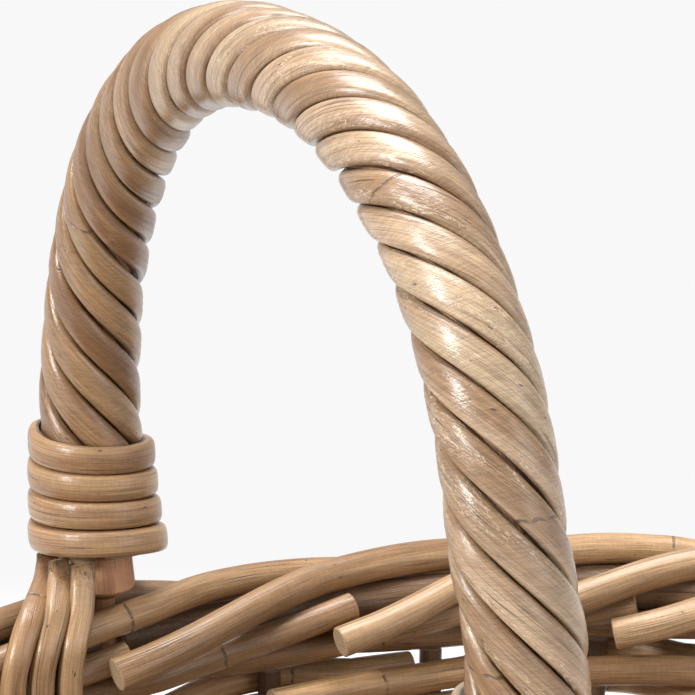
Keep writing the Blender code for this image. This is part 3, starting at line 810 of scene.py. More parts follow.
def cane_finish(name, light, dark, grey, shine, coat, fine=1.0, dirt_and_shade_depth=None, scuffs=1.0,
                shade_tint=(0.90, 0.80, 0.66), foot_shade=0.0, ribbed=0.95):
    """Rattan: fibres along the cane, faint cross ribs, growth nodes, specks, scuffs and sawn ends."""
    made = Recipe(bpy.data.materials.new(name))
    tint = colours()
    grain = made.attribute("grain")
    node_place, cut, tone = made.split(made.attribute("marks"))

    # Tan that turns grey or dark in patches, with dark streaks
    fibre, streak = made.noise(grain, "fibre", fine), made.noise(grain, "streak", fine)
    hue = made.maths("MULTIPLY_ADD", tone, 0.16, made.noise(grain, "hue"))
    patch = made.maths("MULTIPLY_ADD", tone, 0.06, made.noise(grain, "patch"))
    tan = made.mix(made.window(hue, 0.34, 0.66), grey, light)
    made.colour = made.mix(made.window(patch, 0.34, 0.60), dark, tan)
    made.lay(made.window(streak, 0.47, 0.70, 0.0, 0.66), dark)

    # Thin dark hairs
    hair = made.window(made.crease(made.noise(grain, "hair", fine)), 0.003, 0.016, 1.0, 0.0)
    hair = made.maths("MULTIPLY", hair, made.window(made.noise(grain, "hairy_patch"), 0.46, 0.62))
    made.lay(made.maths("MULTIPLY", hair, 0.62), tint.grime_and_seam_shade)

    # Light and dark of the fibres, and of faint ribs across them
    ribs = made.noise(grain, "cross_ribs")
    fibre_shade = made.window(fibre, 0.30, 0.72, 0.66, 1.14)
    made.shade(made.maths("MULTIPLY", fibre_shade, made.window(ribs, 0.36, 0.62, ribbed, 1.05)))

    # Painted shade: darker and browner on the far side, which is also less worn, and low on the legs
    _, across, height = made.split(made.add("ShaderNodeTexCoord").outputs["Object"])
    far_side = made.window(across, FAR_SHADE_FROM, FAR_SHADE_TO)
    low = made.window(height, FOOT_SHADE_LOW, FOOT_SHADE_HIGH, foot_shade, 0.0)
    made.lay(made.maths("MAXIMUM", far_side, low), shade_tint, blend="MULTIPLY")
    wearing = made.maths("MULTIPLY_ADD", far_side, -FAR_SIDE_WEAR_LOSS, 1.0)

    # Pale worn places, and lacquer that has flaked off along cracks
    worn = made.window(made.noise(grain, "wear"), 0.60, 0.74, 0.0, 0.62 * scuffs)
    worn = made.maths("MULTIPLY", worn, wearing)
    made.lay(worn, tint.scuff)
    crackle = made.crease(made.noise(grain, "crackle"))
    flaked = made.window(made.noise(grain, "flaking_patch"), 0.50, 0.62)
    flaked = made.maths("MULTIPLY", flaked, wearing)
    flake_edge = made.maths("MULTIPLY", made.window(crackle, 0.016, 0.034, 0.38, 0.0), flaked)
    flake = made.maths("MULTIPLY", made.window(crackle, 0.004, 0.016, 0.75 * scuffs, 0.0), flaked)
    made.lay(flake_edge, dark)
    made.lay(flake, tint.scuff)
    made.lay(made.window(made.noise(grain, "specks"), 0.725, 0.765, 0.0, 0.85), tint.grime_and_seam_shade)

    # Growth nodes: a broken dark line with a darker band on both sides
    wobble = made.noise(grain, "wobble")
    shift = made.maths("MULTIPLY_ADD", wobble, 2.0 * NODE_LINE_WAVER, -NODE_LINE_WAVER)
    from_node = made.maths("ABSOLUTE", made.maths("ADD", node_place, shift))
    line = made.window(from_node, 0.25 * MM, 0.75 * MM, 1.0, 0.0)
    scar = made.maths("MULTIPLY", line, made.window(wobble, 0.38, 0.56, 0.25, 0.95))
    made.lay(scar, tint.grime_and_seam_shade)
    made.lay(made.window(from_node, 1.0 * MM, 9.0 * MM, 0.34, 0.0), dark)

    # Dirt and painted shade deep in the seams of a split cane
    if dirt_and_shade_depth:
        _, depth, _ = made.split(grain)
        ragged = made.noise(grain, "seam_dirt_and_shade")
        depth = made.maths("MULTIPLY_ADD", ragged, -SEAM_RAGGED, depth)
        depth = made.maths("ADD", depth, 0.5 * SEAM_RAGGED)
        made.lay(made.window(depth, *dirt_and_shade_depth, 0.93, 0.0), tint.grime_and_seam_shade)

    # Sawn ends with dark pores
    pores = made.window(made.noise(grain, "pores"), 0.42, 0.62, 0.0, 0.75)
    made.lay(cut, made.mix(pores, tint.sawn_end, dark))

    relief = made.maths("MULTIPLY", fibre, 0.55)
    reliefs = ((ribs, 0.40), (streak, 0.50), (worn, -0.55), (flake, -0.45), (scar, -1.60), (hair, -0.90))
    for layer, share in reliefs:
        relief = made.maths("MULTIPLY_ADD", layer, share, relief)
    bump = made.add("ShaderNodeBump")
    bump.inputs["Strength"].default_value = BUMP_STRENGTH
    bump.inputs["Distance"].default_value = BUMP_DEPTH
    made.feed(bump.inputs["Height"], relief)

    rough = made.window(fibre, 0.30, 0.75, shine, shine + 0.14)
    rough = made.maths("MULTIPLY_ADD", worn, 0.30, rough)
    rough = made.maths("MULTIPLY_ADD", cut, 0.25, rough, clamp=True)
    shader = made.add("ShaderNodeBsdfPrincipled")
    made.feed(shader.inputs["Base Color"], made.colour)
    made.feed(shader.inputs["Roughness"], rough)
    made.feed(shader.inputs["Normal"], bump.outputs[0])
    made.feed(shader.inputs["Coat Normal"], bump.outputs[0])
    shader.inputs["Coat Weight"].default_value = coat
    shader.inputs["Coat Roughness"].default_value = COAT_ROUGHNESS
    shader.inputs["Specular IOR Level"].default_value = 0.5
    return made.surface(shader.outputs[0])


def finish_named(name):
    """The finished material of one kind of cane, made once."""
    found = bpy.data.materials.get(name)
    if found:
        return found
    tint = colours()
    split = dict(light=tint.split_light, dark=tint.split_dark, grey=tint.split_grey)
    wall = dict(light=tint.wall_light, dark=tint.wall_dark, grey=tint.wall_grey, fine=0.8)
    # Each recipe's tint for the far side, and its share low on the legs, are painted shade
    recipes = {
        "lacquered_split_cane": dict(
            split, shine=0.34, coat=0.8, dirt_and_shade_depth=(1.2 * MM, 2.0 * MM),
            shade_tint=(0.77, 0.64, 0.48), foot_shade=1.0, ribbed=0.84),
        "flat_split_cane": dict(
            split, shine=0.36, coat=0.5, dirt_and_shade_depth=(0.2 * MM, 1.5 * MM),
            shade_tint=(0.98, 0.85, 0.69), scuffs=0.6),
        "wall_cane": dict(wall, shine=0.44, coat=0.2, scuffs=0.35, shade_tint=(1.0, 0.89, 0.74)),
        "border_cane": dict(wall, shine=0.40, coat=0.3, scuffs=0.3, shade_tint=(0.84, 0.745, 0.62)),
        "rib_cane": dict(
            light=tint.rib_light, dark=tint.rib_dark, grey=tint.rib_dark, shine=0.5,
            coat=0.1, fine=0.9),
        "bare_pole_wood": dict(
            light=tint.pole_light, dark=tint.pole_dark, grey=tint.pole_dark, shine=0.55,
            coat=0.05, fine=0.6, scuffs=0.2, shade_tint=(1.0, 1.0, 1.0)),
    }
    return cane_finish(name, **recipes[name])


# Wall


def weave_offset(run, row):
    """How far outward a row lies, swinging from one side of a rib to the other."""
    return rib_clearance() * np.cos(math.pi * (run / rib_spacing() + row // ROWS_A_COURSE))


def lap_places(row):
    """Ribs inside which one row's canes lap, and how far each new cane reaches past its rib."""
    from_top = sizes().row_count - 1 - row
    if from_top < len(TOP_ROW_LAPS):
        return TOP_ROW_LAPS[from_top]
    draw = np.random.default_rng(SEEDS["row_laps"] + row)
    count = sizes().stake_count
    first = int(draw.integers(0, count))
    first += (first + row // ROWS_A_COURSE + 1) % 2
    gap = 2 * int(draw.integers(3, 5))
    places = sorted({(first + number * gap) % count for number in range(3)})
    return [(place, draw.uniform(*ROW_LAP_REACH)) for place in places]


def row_cane(row, lap, following, seed):
    """One cane of a row: its start lies inside past one rib, and it ends beside another."""
    spacing = rib_spacing()
    place, reach = lap
    goal = following[0] + (sizes().stake_count if following[0] <= place else 0)
    start, stop = place * spacing - reach, goal * spacing - LAP_STOP_SHORT
    run = np.linspace(start, stop, int((stop - start) / CANE_STEP) + 1)
    before = place * spacing - run
    stand_off = LAP_INSET * np.clip(before / LAP_INSET_RUN, 0.0, 1.0) ** LAP_INSET_POWER
    lean = LAP_LEAN * np.clip((before - LAP_INSET_RUN) / LAP_LEAN_RUN, 0.0, LAP_LEAN_LIMIT)
    inside = -rib_clearance() - stand_off - lean
    outward = np.where(before > 0.0, inside, weave_offset(run, row))
    outward = np.where(run > (goal - 0.5) * spacing, np.maximum(outward, 0.0), outward)
    outward = outward + wander(run, "row_outward", seed)
    height = row_height(row) + wander(run, "row_upward", seed)
    path = wall_place(run, height, outward)
    radius = sizes().cane_radius * np.random.default_rng(seed).uniform(*ROW_SHARES)
    return cane(f"row_part_{seed}", path, radius, seed, waver=0.02)


class BASKET_OT_wall_rows(bpy.types.Operator):
    """Weave the rows of cane up the wall"""

    bl_idname = "basket.wall_rows"
    bl_label = "Wall rows"

    def execute(self, context):
        for row in range(sizes().row_count):
            laps = lap_places(row)
            parts = []
            for number, lap in enumerate(laps):
                following = laps[(number + 1) % len(laps)]
                seed = SEEDS["row"] + 10 * row + number
                parts.append(row_cane(row, lap, following, seed))
            piece = join_pieces(f"woven_row_{row + 1:02d}", parts)
            dress(piece, "wall_cane", f"wall_row_{row + 1:02d}")
        return {"FINISHED"}


# Base, ribs and hoops


def rib_leg(run, inward):
    """Points of a rib from its top down the wall and round the bend to the base."""
    heights = np.linspace(wall_top(), bend_top(), RIB_WALL_POINTS)
    points = list(wall_place(np.full(len(heights), run), heights))
    foot = points[-1]
    for bend in np.radians(RIB_BEND_DEGREES):
        inset = BEND_RADIUS * (1.0 - math.cos(bend))
        points.append(foot + inward * inset - UP * (BEND_RADIUS * math.sin(bend)))
    return points


def cross_rib_runs():
    """Places round the rim of the ribs that run across."""
    quarter = sizes().stake_count // 4
    runs = stake_runs()
    return [runs[step % len(runs)] for step in range(-quarter + 2, quarter - 1) if step != 0]


def end_rib_runs():
    """Places round the rim of the ribs that run lengthways."""
    quarter = sizes().stake_count // 4
    return list(stake_runs()[quarter - 1:quarter + 2])


def cross_rib_places():
    """Where the cross ribs and the middle stick lie along X in the base."""
    ribs = [float(wall_place(run, bend_top())[0]) for run in cross_rib_runs()]
    return sorted(ribs + [0.0])


def corner_hoop_offsets():
    """How far outside the wall's line the corner hoop lies, and its height."""
    bend = math.radians(CORNER_HOOP_DEGREES)
    outward = -BEND_RADIUS * (1.0 - math.cos(bend)) + rib_clearance() * math.cos(bend)
    return outward, bend_top() - (BEND_RADIUS + rib_clearance()) * math.sin(bend)


def base_wave(line, radius, first, last):
    """Corners of one lengthways cane of the base, over one cross rib and under the next."""
    places = cross_rib_places()
    spacing = min(b - a for a, b in zip(places, places[1:]))
    nested = BASE_NESTING_SHARE * (sizes().stake_radius + radius)
    swing = corner_swing(nested + TOUCH_GAP, spacing)
    margin = 2.0 * (sizes().stake_radius + radius)
    points = [first]
    for number, place in enumerate(places):
        if first[0] + margin < place < last[0] - margin:
            lift = swing * (-1) ** (number + line)
            points.append(np.array((place, first[1], base_height() + lift)))
    points.append(last)
    return points


def base_edge(across):
    """Half length of the base mat at a distance across."""
    length = half_length(bend_top()) - BASE_EDGE_INSET
    width = half_width(bend_top()) - BASE_EDGE_INSET
    share = min(abs(across) / width, 1.0)
    return length * (1.0 - share ** OVAL_POWER) ** (1.0 / OVAL_POWER)


def base_cane_ends(across):
    """Half length of one base cane, so that it ends on a rib."""
    size = sizes()
    reach = base_edge(abs(across) + size.base_radius)
    margin = 2.0 * (size.stake_radius + size.base_radius)
    places = cross_rib_places()
    crossed = [abs(place) for place in places if abs(place) + margin < reach]
    beyond = [abs(place) for place in places if abs(place) + margin >= reach]
    stop = min(beyond, default=reach + margin) - size.stake_radius - size.base_radius
    return min(reach, max([stop] + [place + size.base_radius for place in crossed]))


def make_rib(name, corners, first_side, seed, replaced):
    """One rib along its corners."""
    path = smooth_path(corners, CANE_STEP)
    radius = sizes().stake_radius * RIB_SHARE
    piece = cane(name, path, radius, seed, RIB_SIDES, first_side, waver=0.012)
    dress(piece, "rib_cane", replaced)


class BASKET_OT_ribs(bpy.types.Operator):
    """Bend the ribs down the wall, across the base and up the other side"""

    bl_idname = "basket.ribs"
    bl_label = "Ribs"

    def execute(self, context):
        for number, run in enumerate(cross_rib_runs(), start=1):
            down = rib_leg(run, -ACROSS)
            up = [point * MIRROR_Y for point in reversed(down)]
            seed = SEEDS["cross_rib"] + number
            make_rib(f"rib_across_{number}", down + up, SIDE, seed, f"cross_rib_{number}")
        lines = (END_RIB_LINE_COUNT, 0, -END_RIB_LINE_COUNT)
        for number, (run, line) in enumerate(zip(end_rib_runs(), lines), start=1):
            right = rib_leg(run, -SIDE)
            left = [point * MIRROR_X for point in right]
            base = base_wave(line, sizes().stake_radius, left[-1], right[-1])
            corners = left + base[1:-1] + right[::-1]
            seed = SEEDS["end_rib"] + number
            make_rib(f"rib_along_{number}", corners, ACROSS, seed, f"end_rib_{number}")
        outward, _ = corner_hoop_offsets()
        reach = half_width(bend_top()) + outward - sizes().cane_radius - TOUCH_GAP
        ends = [(0.0, -reach, base_height()), (0.0, reach, base_height())]
        make_rib("stick_under_handle", ends, SIDE, SEEDS["middle_stick"], "middle_stick")
        return {"FINISHED"}


class BASKET_OT_base_mat(bpy.types.Operator):
    """Lay the canes of the base mat over and under the ribs"""

    bl_idname = "basket.base_mat"
    bl_label = "Base mat"

    def execute(self, context):
        pitch = float(wall_place(end_rib_runs()[0], bend_top())[1]) / END_RIB_LINE_COUNT
        width = half_width(bend_top()) - BASE_EDGE_INSET
        radius = sizes().base_radius
        outer_line = int((width - 2.0 * radius) / pitch)
        rib_lines = (-END_RIB_LINE_COUNT, 0, END_RIB_LINE_COUNT)
        lines = [line for line in range(-outer_line, outer_line + 1) if line not in rib_lines]
        for number, line in enumerate(lines, start=1):
            across = line * pitch
            first = np.array((-base_cane_ends(across), across, base_height()))
            path = smooth_path(base_wave(line, radius, first, first * MIRROR_X), CANE_STEP)
            name, seed = f"mat_cane_{number:02d}", SEEDS["base_cane"] + number
            piece = cane(name, path, radius * BASE_SHARE, seed, waver=0.015)
            dress(piece, "wall_cane", f"base_cane_{number:02d}")
        return {"FINISHED"}


class BASKET_OT_hoops(bpy.types.Operator):
    """Lay the hoop outside the ribs' bends and the hoop that the basket stands on"""

    bl_idname = "basket.hoops"
    bl_label = "Hoops"

    def execute(self, context):
        length = rim_length()
        start = HOOP_JOINT_SHARE * length
        run = np.linspace(start, start + length - HOOP_JOINT_GAP, int(length / CANE_STEP))
        outward, height = corner_hoop_offsets()
        path = wall_place(run, bend_top(), outward)
        path[:, 2] = height
        radius = sizes().cane_radius * CORNER_HOOP_SHARE
        piece = cane("corner_cane", path, radius, SEEDS["corner_hoop"], waver=0.012)
        dress(piece, "wall_cane", "corner_hoop")
        path = wall_place(run + FOOT_JOINT_SHIFT * length, 0.0, -FOOT_HOOP_INSET)
        path[:, 2] = sizes().foot_radius - FOOT_FLAT_DEPTH
        radius = sizes().foot_radius * FOOT_HOOP_SHARE
        piece = cane("standing_hoop", path, radius, SEEDS["foot_hoop"], STOUT_SIDES, waver=0.008)
        press_flat(piece)
        dress(piece, "rib_cane", "foot_hoop")
        return {"FINISHED"}


def press_flat(piece):
    """Wear the underside of a hoop flat on the floor."""
    for corner in piece.data.vertices:
        corner.co.z = max(corner.co.z, 0.0)


# Border


def parted_offset():
    """How far from the wall's line a border rod lies where it passes a tongue."""
    return sizes().stake_radius + sizes().rod_radius + BORDER_PART_GAP


def border_spread(run, phase):
    """Extra outward shift of a border rod where it passes a tongue of the handle."""
    half = 0.5 * rim_length()
    from_leg = np.minimum(run % half, half - run % half)
    leg_run = half * np.round(run / half)
    lay = BORDER_LAY_RADIUS * np.cos(phase - TURN * BORDER_TURN_COUNT * leg_run / (2.0 * half))
    fade = 0.5 + 0.5 * np.cos(math.pi * np.minimum(from_leg / BORDER_SPREAD_REACH, 1.0))
    fade = np.minimum(1.0, fade / BORDER_FULL_SPREAD_SHARE)
    return np.sign(lay) * np.maximum(parted_offset() - np.abs(lay), 0.0) * fade


def border_cane(rod, lap, following):
    """One cane of a border rod: its sawn start lies on the cane before it, then takes its place."""
    length = rim_length()
    radius = sizes().rod_radius
    phase = TURN * rod / BORDER_ROD_COUNT
    start, degrees = lap
    stop = following[0] + (length if following[0] <= start else 0.0) + LAP_COVER
    run = np.linspace(start, stop, int((stop - start) / CANE_STEP))
    angle = phase - TURN * BORDER_TURN_COUNT * run / length
    settle = np.clip((run - start - LAP_LEVEL_COVERS * LAP_COVER) / LAP_SETTLE, 0.0, 1.0)
    lift = LAP_LIFT_RADII * radius * (1.0 - ease(settle))
    tilt = math.radians(degrees)
    stray = wander(run, "border_upward", 11 * rod + int(start / MM))
    outward = BORDER_LAY_RADIUS * np.cos(angle) + border_spread(run, phase)
    path = wall_place(run, border_height(), outward - lift * math.cos(tilt))
    path[:, 2] = border_height() + BORDER_LAY_RADIUS * np.sin(angle) - lift * math.sin(tilt) + stray
    thick = radius * (1.0 + 0.03 * math.sin(2.4 * rod + start / (90.0 * MM)))
    seed = SEEDS["border_cane"] + 7 * rod + int(start / (50.0 * MM))
    return cane(f"border_part_{rod}", path, thick, seed, STOUT_SIDES, taper=BORDER_TAPER)


class BASKET_OT_border(bpy.types.Operator):
    """Lay the border's rods round each other along the rim"""

    bl_idname = "basket.border"
    bl_label = "Border"

    def execute(self, context):
        for rod, laps in enumerate(BORDER_LAPS):
            parts = [
                border_cane(rod, lap, laps[(number + 1) % len(laps)])
                for number, lap in enumerate(laps)
            ]
            piece = join_pieces(f"border_cane_{rod + 1}", parts)
            dress(piece, "border_cane", f"border_rod_{rod + 1}")
        half = 0.5 * rim_length()
        turn_share = BORDER_TURN_COUNT / BORDER_STATION_COUNT
        radius = BORDER_LAY_RADIUS * math.cos(math.pi * turn_share) - sizes().rod_radius - TOUCH_GAP
        gap = sizes().stake_radius + CORE_TONGUE_GAP
        for number, start in enumerate((0.0, half), start=1):
            run = np.linspace(start + gap, start + half - gap, int(half / CANE_STEP))
            path = wall_place(run, border_height())
            name, seed = f"border_filling_{number}", SEEDS["border_core"] + number
            piece = cane(name, path, radius * CORE_SHARE, seed)
            dress(piece, "rib_cane", f"border_core_{number}")
        return {"FINISHED"}


# Handle


class PoleRun:
    """Places and directions along the handle's pole by distance from the far shoulder."""

    def __init__(self):
        size = sizes()
        span = size.rim_half_width + size.pole_bow_out
        low = np.linspace(0.0, POLE_WIDEST_ABOVE_RIM, 60)[:-1]
        below = (POLE_WIDEST_ABOVE_RIM - low) / POLE_WIDEST_ABOVE_RIM
        low_y = span - size.pole_bow_out * below ** 2
        turns = np.linspace(0.0, 0.5 * math.pi, 400)
        power = 2.0 / POLE_ARCH_POWER
        arch_rise = size.pole_rise - POLE_WIDEST_ABOVE_RIM
        high_y = span * np.cos(turns) ** power
        high = POLE_WIDEST_ABOVE_RIM + arch_rise * np.sin(turns) ** power
        y = np.concatenate((low_y, high_y))
        z = np.concatenate((low, high)) + rim_height()
        self.y = np.concatenate((y, -y[-2::-1]))
        self.z = np.concatenate((z, z[-2::-1]))
        self.run = run_along(np.stack((self.y, self.z), axis=1))
        self.length = self.run[-1]

    def place(self, run):
        """Centre points at distances along the pole; the near leg sways towards +X near its foot."""
        y = np.interp(run, self.run, self.y)
        z = np.interp(run, self.run, self.z)
        apart = np.abs(self.length - np.clip(run, 0.0, self.length) - POLE_SWAY_FROM_FOOT)
        sway = 0.5 + 0.5 * np.cos(math.pi * np.minimum(apart / POLE_SWAY_REACH, 1.0))
        return np.stack((POLE_SWAY * sway, y, z), axis=-1)

    def swell(self, run):
        """How much thicker the wrapping is, growing towards both feet."""
        from_foot = np.minimum(run, self.length - run)
        return FOOT_SWELL * ease(np.clip(1.0 - from_foot / FOOT_SWELL_REACH, 0.0, 1.0))

    def along(self, run):
        """Directions of the pole at distances along it."""
        reach = 3.0 * MM
        ahead = self.place(np.minimum(run + reach, self.length))
        way = ahead - self.place(np.maximum(run - reach, 0.0))
        way[..., 0] = 0.0
        return unit(way)

    def point(self, run, angle, radius):
        """Points beside the pole: angle 0 is outside the arch, a quarter turn is +X."""
        outside = np.cross(self.along(run), SIDE)
        beside = outside * np.cos(angle)[..., None] + SIDE * np.sin(angle)[..., None]
        return self.place(run) + beside * np.asarray(radius)[..., None]


def strand_lay(pole, run):
    """Turn of the strands round the pole at a distance along it, laid steeper at the feet."""
    half = 0.5 * pole.length
    from_middle = run - half
    extra = 1.0 / STRAND_FOOT_LEAD - 1.0 / STRAND_LEAD
    eased = np.abs(from_middle / half) ** STRAND_EASE_POWER / (STRAND_EASE_POWER + 1)
    return TURN * (from_middle / STRAND_LEAD + extra * from_middle * eased)


def split_section(points=17, across_power=0.68, depth_power=0.54):
    """Outline of a split cane: shares across, from -1 to 1, and shares of its thickness."""
    turn = np.linspace(math.pi, 0.0, points)
    across = np.sign(np.cos(turn)) * np.abs(np.cos(turn)) ** across_power
    depth = np.abs(np.sin(turn)) ** depth_power
    under = np.linspace(1.0, -1.0, 7)[1:-1]
    return np.concatenate((across, under * 0.98)), np.concatenate((depth, np.zeros(len(under))))


def tongue_levels():
    """Heights and radii of the pole's tongue, from its tip up to the shoulder."""
    size = sizes()
    tip, neck = TONGUE_END_HEIGHT, rim_height() - SHOULDER_DROP
    shoulder = rim_height() + SHOULDER_LIFT
    levels = (
        (tip, 0.5 * MM),
        (tip + 1.0 * MM, TONGUE_TIP_RADIUS),
        (tip + TONGUE_TIP_LENGTH, size.stake_radius),
        (neck, size.stake_radius),
        (neck + 0.2 * MM, size.stake_radius + 0.4 * MM),
        (shoulder - 1.2 * MM, size.pole_radius * 0.82),
        (shoulder - 0.4 * MM, size.pole_radius * 0.95),
        (shoulder + 0.4 * MM, size.pole_radius),
    )
    return np.array(levels).T


class BASKET_OT_pole(bpy.types.Operator):
    """Turn the handle's pole, with a shoulder and a tongue at each end"""

    bl_idname = "basket.pole"
    bl_label = "Handle pole"

    def execute(self, context):
        pole = PoleRun()
        run = np.linspace(2.0 * MM, pole.length - 2.0 * MM, 150)
        radii = sizes().pole_radius * (1.0 + wander(run, "pole_thickness"))
        heights, tongue_radii = tongue_levels()
        tongue = np.stack((np.zeros(len(heights)), half_width(heights), heights), axis=1)
        path = np.concatenate((tongue, pole.place(run), (tongue * MIRROR_Y)[::-1]))
        radii = np.concatenate((tongue_radii, radii, tongue_radii[::-1]))
        rises = np.broadcast_to(UP, tongue.shape)
        along = np.concatenate((rises, pole.along(run), -rises))
        side = np.broadcast_to(SIDE, along.shape)
        angles, spokes = ring_spokes(side, np.cross(along, SIDE), POLE_SIDES)
        rings = path[:, None, :] + spokes * radii[:, None, None]
        round_radii = radii[:, None]
        place = run_along(path)[:, None]
        grain = grain_layer(round_radii * np.cos(angles), round_radii * np.sin(angles), place)
        marks = mark_layer(np.full(len(path), 1.0), POLE_SIDES, 0.0)
        piece = rolled_grid("handle_core", *drawn_ends((rings, grain, marks)))
        dress(piece, "bare_pole_wood", "handle_pole")
        return {"FINISHED"}


def strand_seams(run):
    """Seams between the strands: how far each wanders, and how far each gapes to one side."""
    numbers = range(STRAND_COUNT)
    seams = [wander(run, "seam", number) for number in numbers]
    growths = [wander(run, "seam_gap", number, 0.0, 1.0) ** 4 for number in numbers]
    return seams, [SEAM_GAP + SEAM_GAP_GROWTH * growth for growth in growths]


def strand_layers(pole, run, strand, seams, gaps):
    """Rings, grain and marks of one split cane laid round the pole."""
    size = sizes()
    sector = TURN / STRAND_COUNT
    across, depth = split_section()
    beyond = (strand + 1) % STRAND_COUNT
    left = -0.5 + seams[strand] + gaps[strand]
    right = 0.5 + seams[beyond] - gaps[beyond]
    middle, half = 0.5 * (left + right), 0.5 * (right - left)
    lay = math.radians(STRAND_PHASE_DEGREES) + sector * strand + strand_lay(pole, run)
    middle_radius = np.full(len(run), size.pole_radius + 0.5 * size.strand_thickness)
    length = run_along(pole.point(run, lay, middle_radius))
    nodes = node_distances(length, SEEDS["strand"] + 3 * strand, (0.05, 0.2), (0.17, 0.3))
    thick = size.strand_thickness * (1.0 + wander(length, "strand_thickness", strand))
    thick = thick + STRAND_RIDGE * np.exp(-(nodes / NODE_REACH) ** 2)
    thick = thick - STRAND_GROOVE * np.exp(-(nodes / STRAND_GROOVE_REACH) ** 2)
    angle = lay[:, None] + sector * (middle[:, None] + half[:, None] * across[None, :])
    lean = wander(length, "strand_lean", strand)[:, None] * across[None, :]
    radius = size.pole_radius + STRAND_STAND_OFF + pole.swell(run)[:, None]
    radius = radius + thick[:, None] * depth[None, :] * (1.0 + lean)
    rings = pole.point(np.broadcast_to(run[:, None], angle.shape), angle, radius)
    shifted = length[:, None] + 1.9 * strand
    grain = grain_layer(across * STRAND_GRAIN_HALF_WIDTH, depth * thick[:, None], shifted)
    return rings, grain, mark_layer(nodes, len(across), STRAND_TONES[strand])


class BASKET_OT_strands(bpy.types.Operator):
    """Lay the six split canes round the pole, left-handed"""

    bl_idname = "basket.strands"
    bl_label = "Handle strands"

    def execute(self, context):
        pole = PoleRun()
        start = STRAND_FOOT_ABOVE_RIM + STRAND_FOOT_TUCK
        stop = pole.length - start
        run = np.linspace(start, stop, int((stop - start) / STRAND_STEP))
        seams, gaps = strand_seams(run)
        for strand in range(STRAND_COUNT):
            layers = drawn_ends(strand_layers(pole, run, strand, seams, gaps))
            piece = rolled_grid(f"handle_wrap_{strand + 1}", *layers)
            dress(piece, "lacquered_split_cane", f"handle_strand_{strand + 1}")
        return {"FINISHED"}


def binding_layers(pole, first, way):
    """Rings, grain and marks of the binding that is wound from a leg's foot upwards."""
    size = sizes()
    pitch = BINDING_WIDTH + TURN_GAP
    across, depth = split_section(17, 0.70, 0.36)
    inner = size.pole_radius + BINDING_STAND_OFF + size.strand_thickness
    turn = np.linspace(0.0, BINDING_TURN_COUNT, BINDING_TURN_COUNT * BINDING_STEPS_A_TURN + 1)
    length = TURN * inner * turn
    from_end = np.minimum(turn, BINDING_TURN_COUNT - turn)
    ends = ease(np.clip(from_end / BINDING_END_TURNS, 0.0, 1.0))
    ends = BINDING_END_SHARE + (1.0 - BINDING_END_SHARE) * ends
    share = BINDING_FIRST_SHARE - BINDING_LOSS_A_TURN * turn + wander(length, "binding_thickness")
    thick = size.binding_thickness * share * ends
    wide = BINDING_HALF_WIDTH_SHARE * BINDING_WIDTH * (1.0 + wander(length, "binding_width"))
    wide = wide * (0.5 + 0.5 * ends)
    run = first + way * pitch * turn
    runs = run[:, None] + way * wide[:, None] * across[None, :]
    flare = BINDING_FLARE * np.clip(1.0 - turn / BINDING_FLARE_TURNS, 0.0, 1.0) ** 2
    radius = inner + (pole.swell(run) + flare)[:, None] + thick[:, None] * depth[None, :]
    rings = pole.point(runs, np.broadcast_to(TURN * turn[:, None], runs.shape), radius)
    shifted = length[:, None] + (13.0 if way > 0 else 17.0)
    grain = grain_layer(across * wide[:, None], depth * thick[:, None], shifted)
    nodes = node_distances(length, SEEDS["binding"] + int(way), (0.07, 0.12), (0.2, 0.3))
    return rings, grain, mark_layer(nodes, len(across), 0.2)


class BASKET_OT_bindings(bpy.types.Operator):
    """Wind the binding round the foot of each leg"""

    bl_idname = "basket.bindings"
    bl_label = "Foot bindings"

    def execute(self, context):
        pole = PoleRun()
        legs = (
            ("far", BINDING_FOOT_ABOVE_RIM, 1.0),
            ("near", pole.length - BINDING_FOOT_ABOVE_RIM, -1.0),
        )
        for name, first, way in legs:
            layers = drawn_ends(binding_layers(pole, first, way))
            piece = rolled_grid(f"foot_binding_{name}", *layers)
            dress(piece, "flat_split_cane", f"binding_{name}")
        return {"FINISHED"}


def tail_points(number):
    """Corners of one tail at the far leg: from under the binding, over the border, down inside."""
    size = sizes()
    off = TAIL_WALL_GAP + 0.5 * size.tail_thickness
    border_inset = border_reach() + off
    wall_inset = corner_swing(rib_clearance(), rib_spacing()) + size.cane_radius + off
    bulge = math.hypot(parted_offset(), BORDER_LAY_RADIUS * math.sin(TURN / BORDER_ROD_COUNT))
    bulge -= BORDER_LAY_RADIUS
    angle = math.radians(TAIL_FIRST_ANGLE_DEGREES - TAIL_ANGLE_STEP_DEGREES * number)
    down_x = -TAIL_FIRST_OFFSET - TAIL_SPACING * number
    low = rim_height() - TAIL_DROP
    points = [
        np.array((
            TAIL_TOP_RADIUS * math.cos(angle),
            half_width(rim_height()) + TAIL_TOP_RADIUS * math.sin(angle),
            rim_height() + above,
        ))
        for above in TAIL_TOPS_ABOVE_RIM
    ]
    for degrees, offset, fan, share in TAIL_BENDS:
        bend = math.radians(degrees)
        reach = border_inset + bulge * share
        points.append(np.array((
            -TAIL_FIRST_OFFSET - offset - TAIL_SPACING * number * fan,
            half_width(border_height()) - reach * math.cos(bend),
            border_height() + reach * math.sin(bend),
        )))
    points.append(np.array((down_x, half_width(low) - wall_inset, low)))
    return points


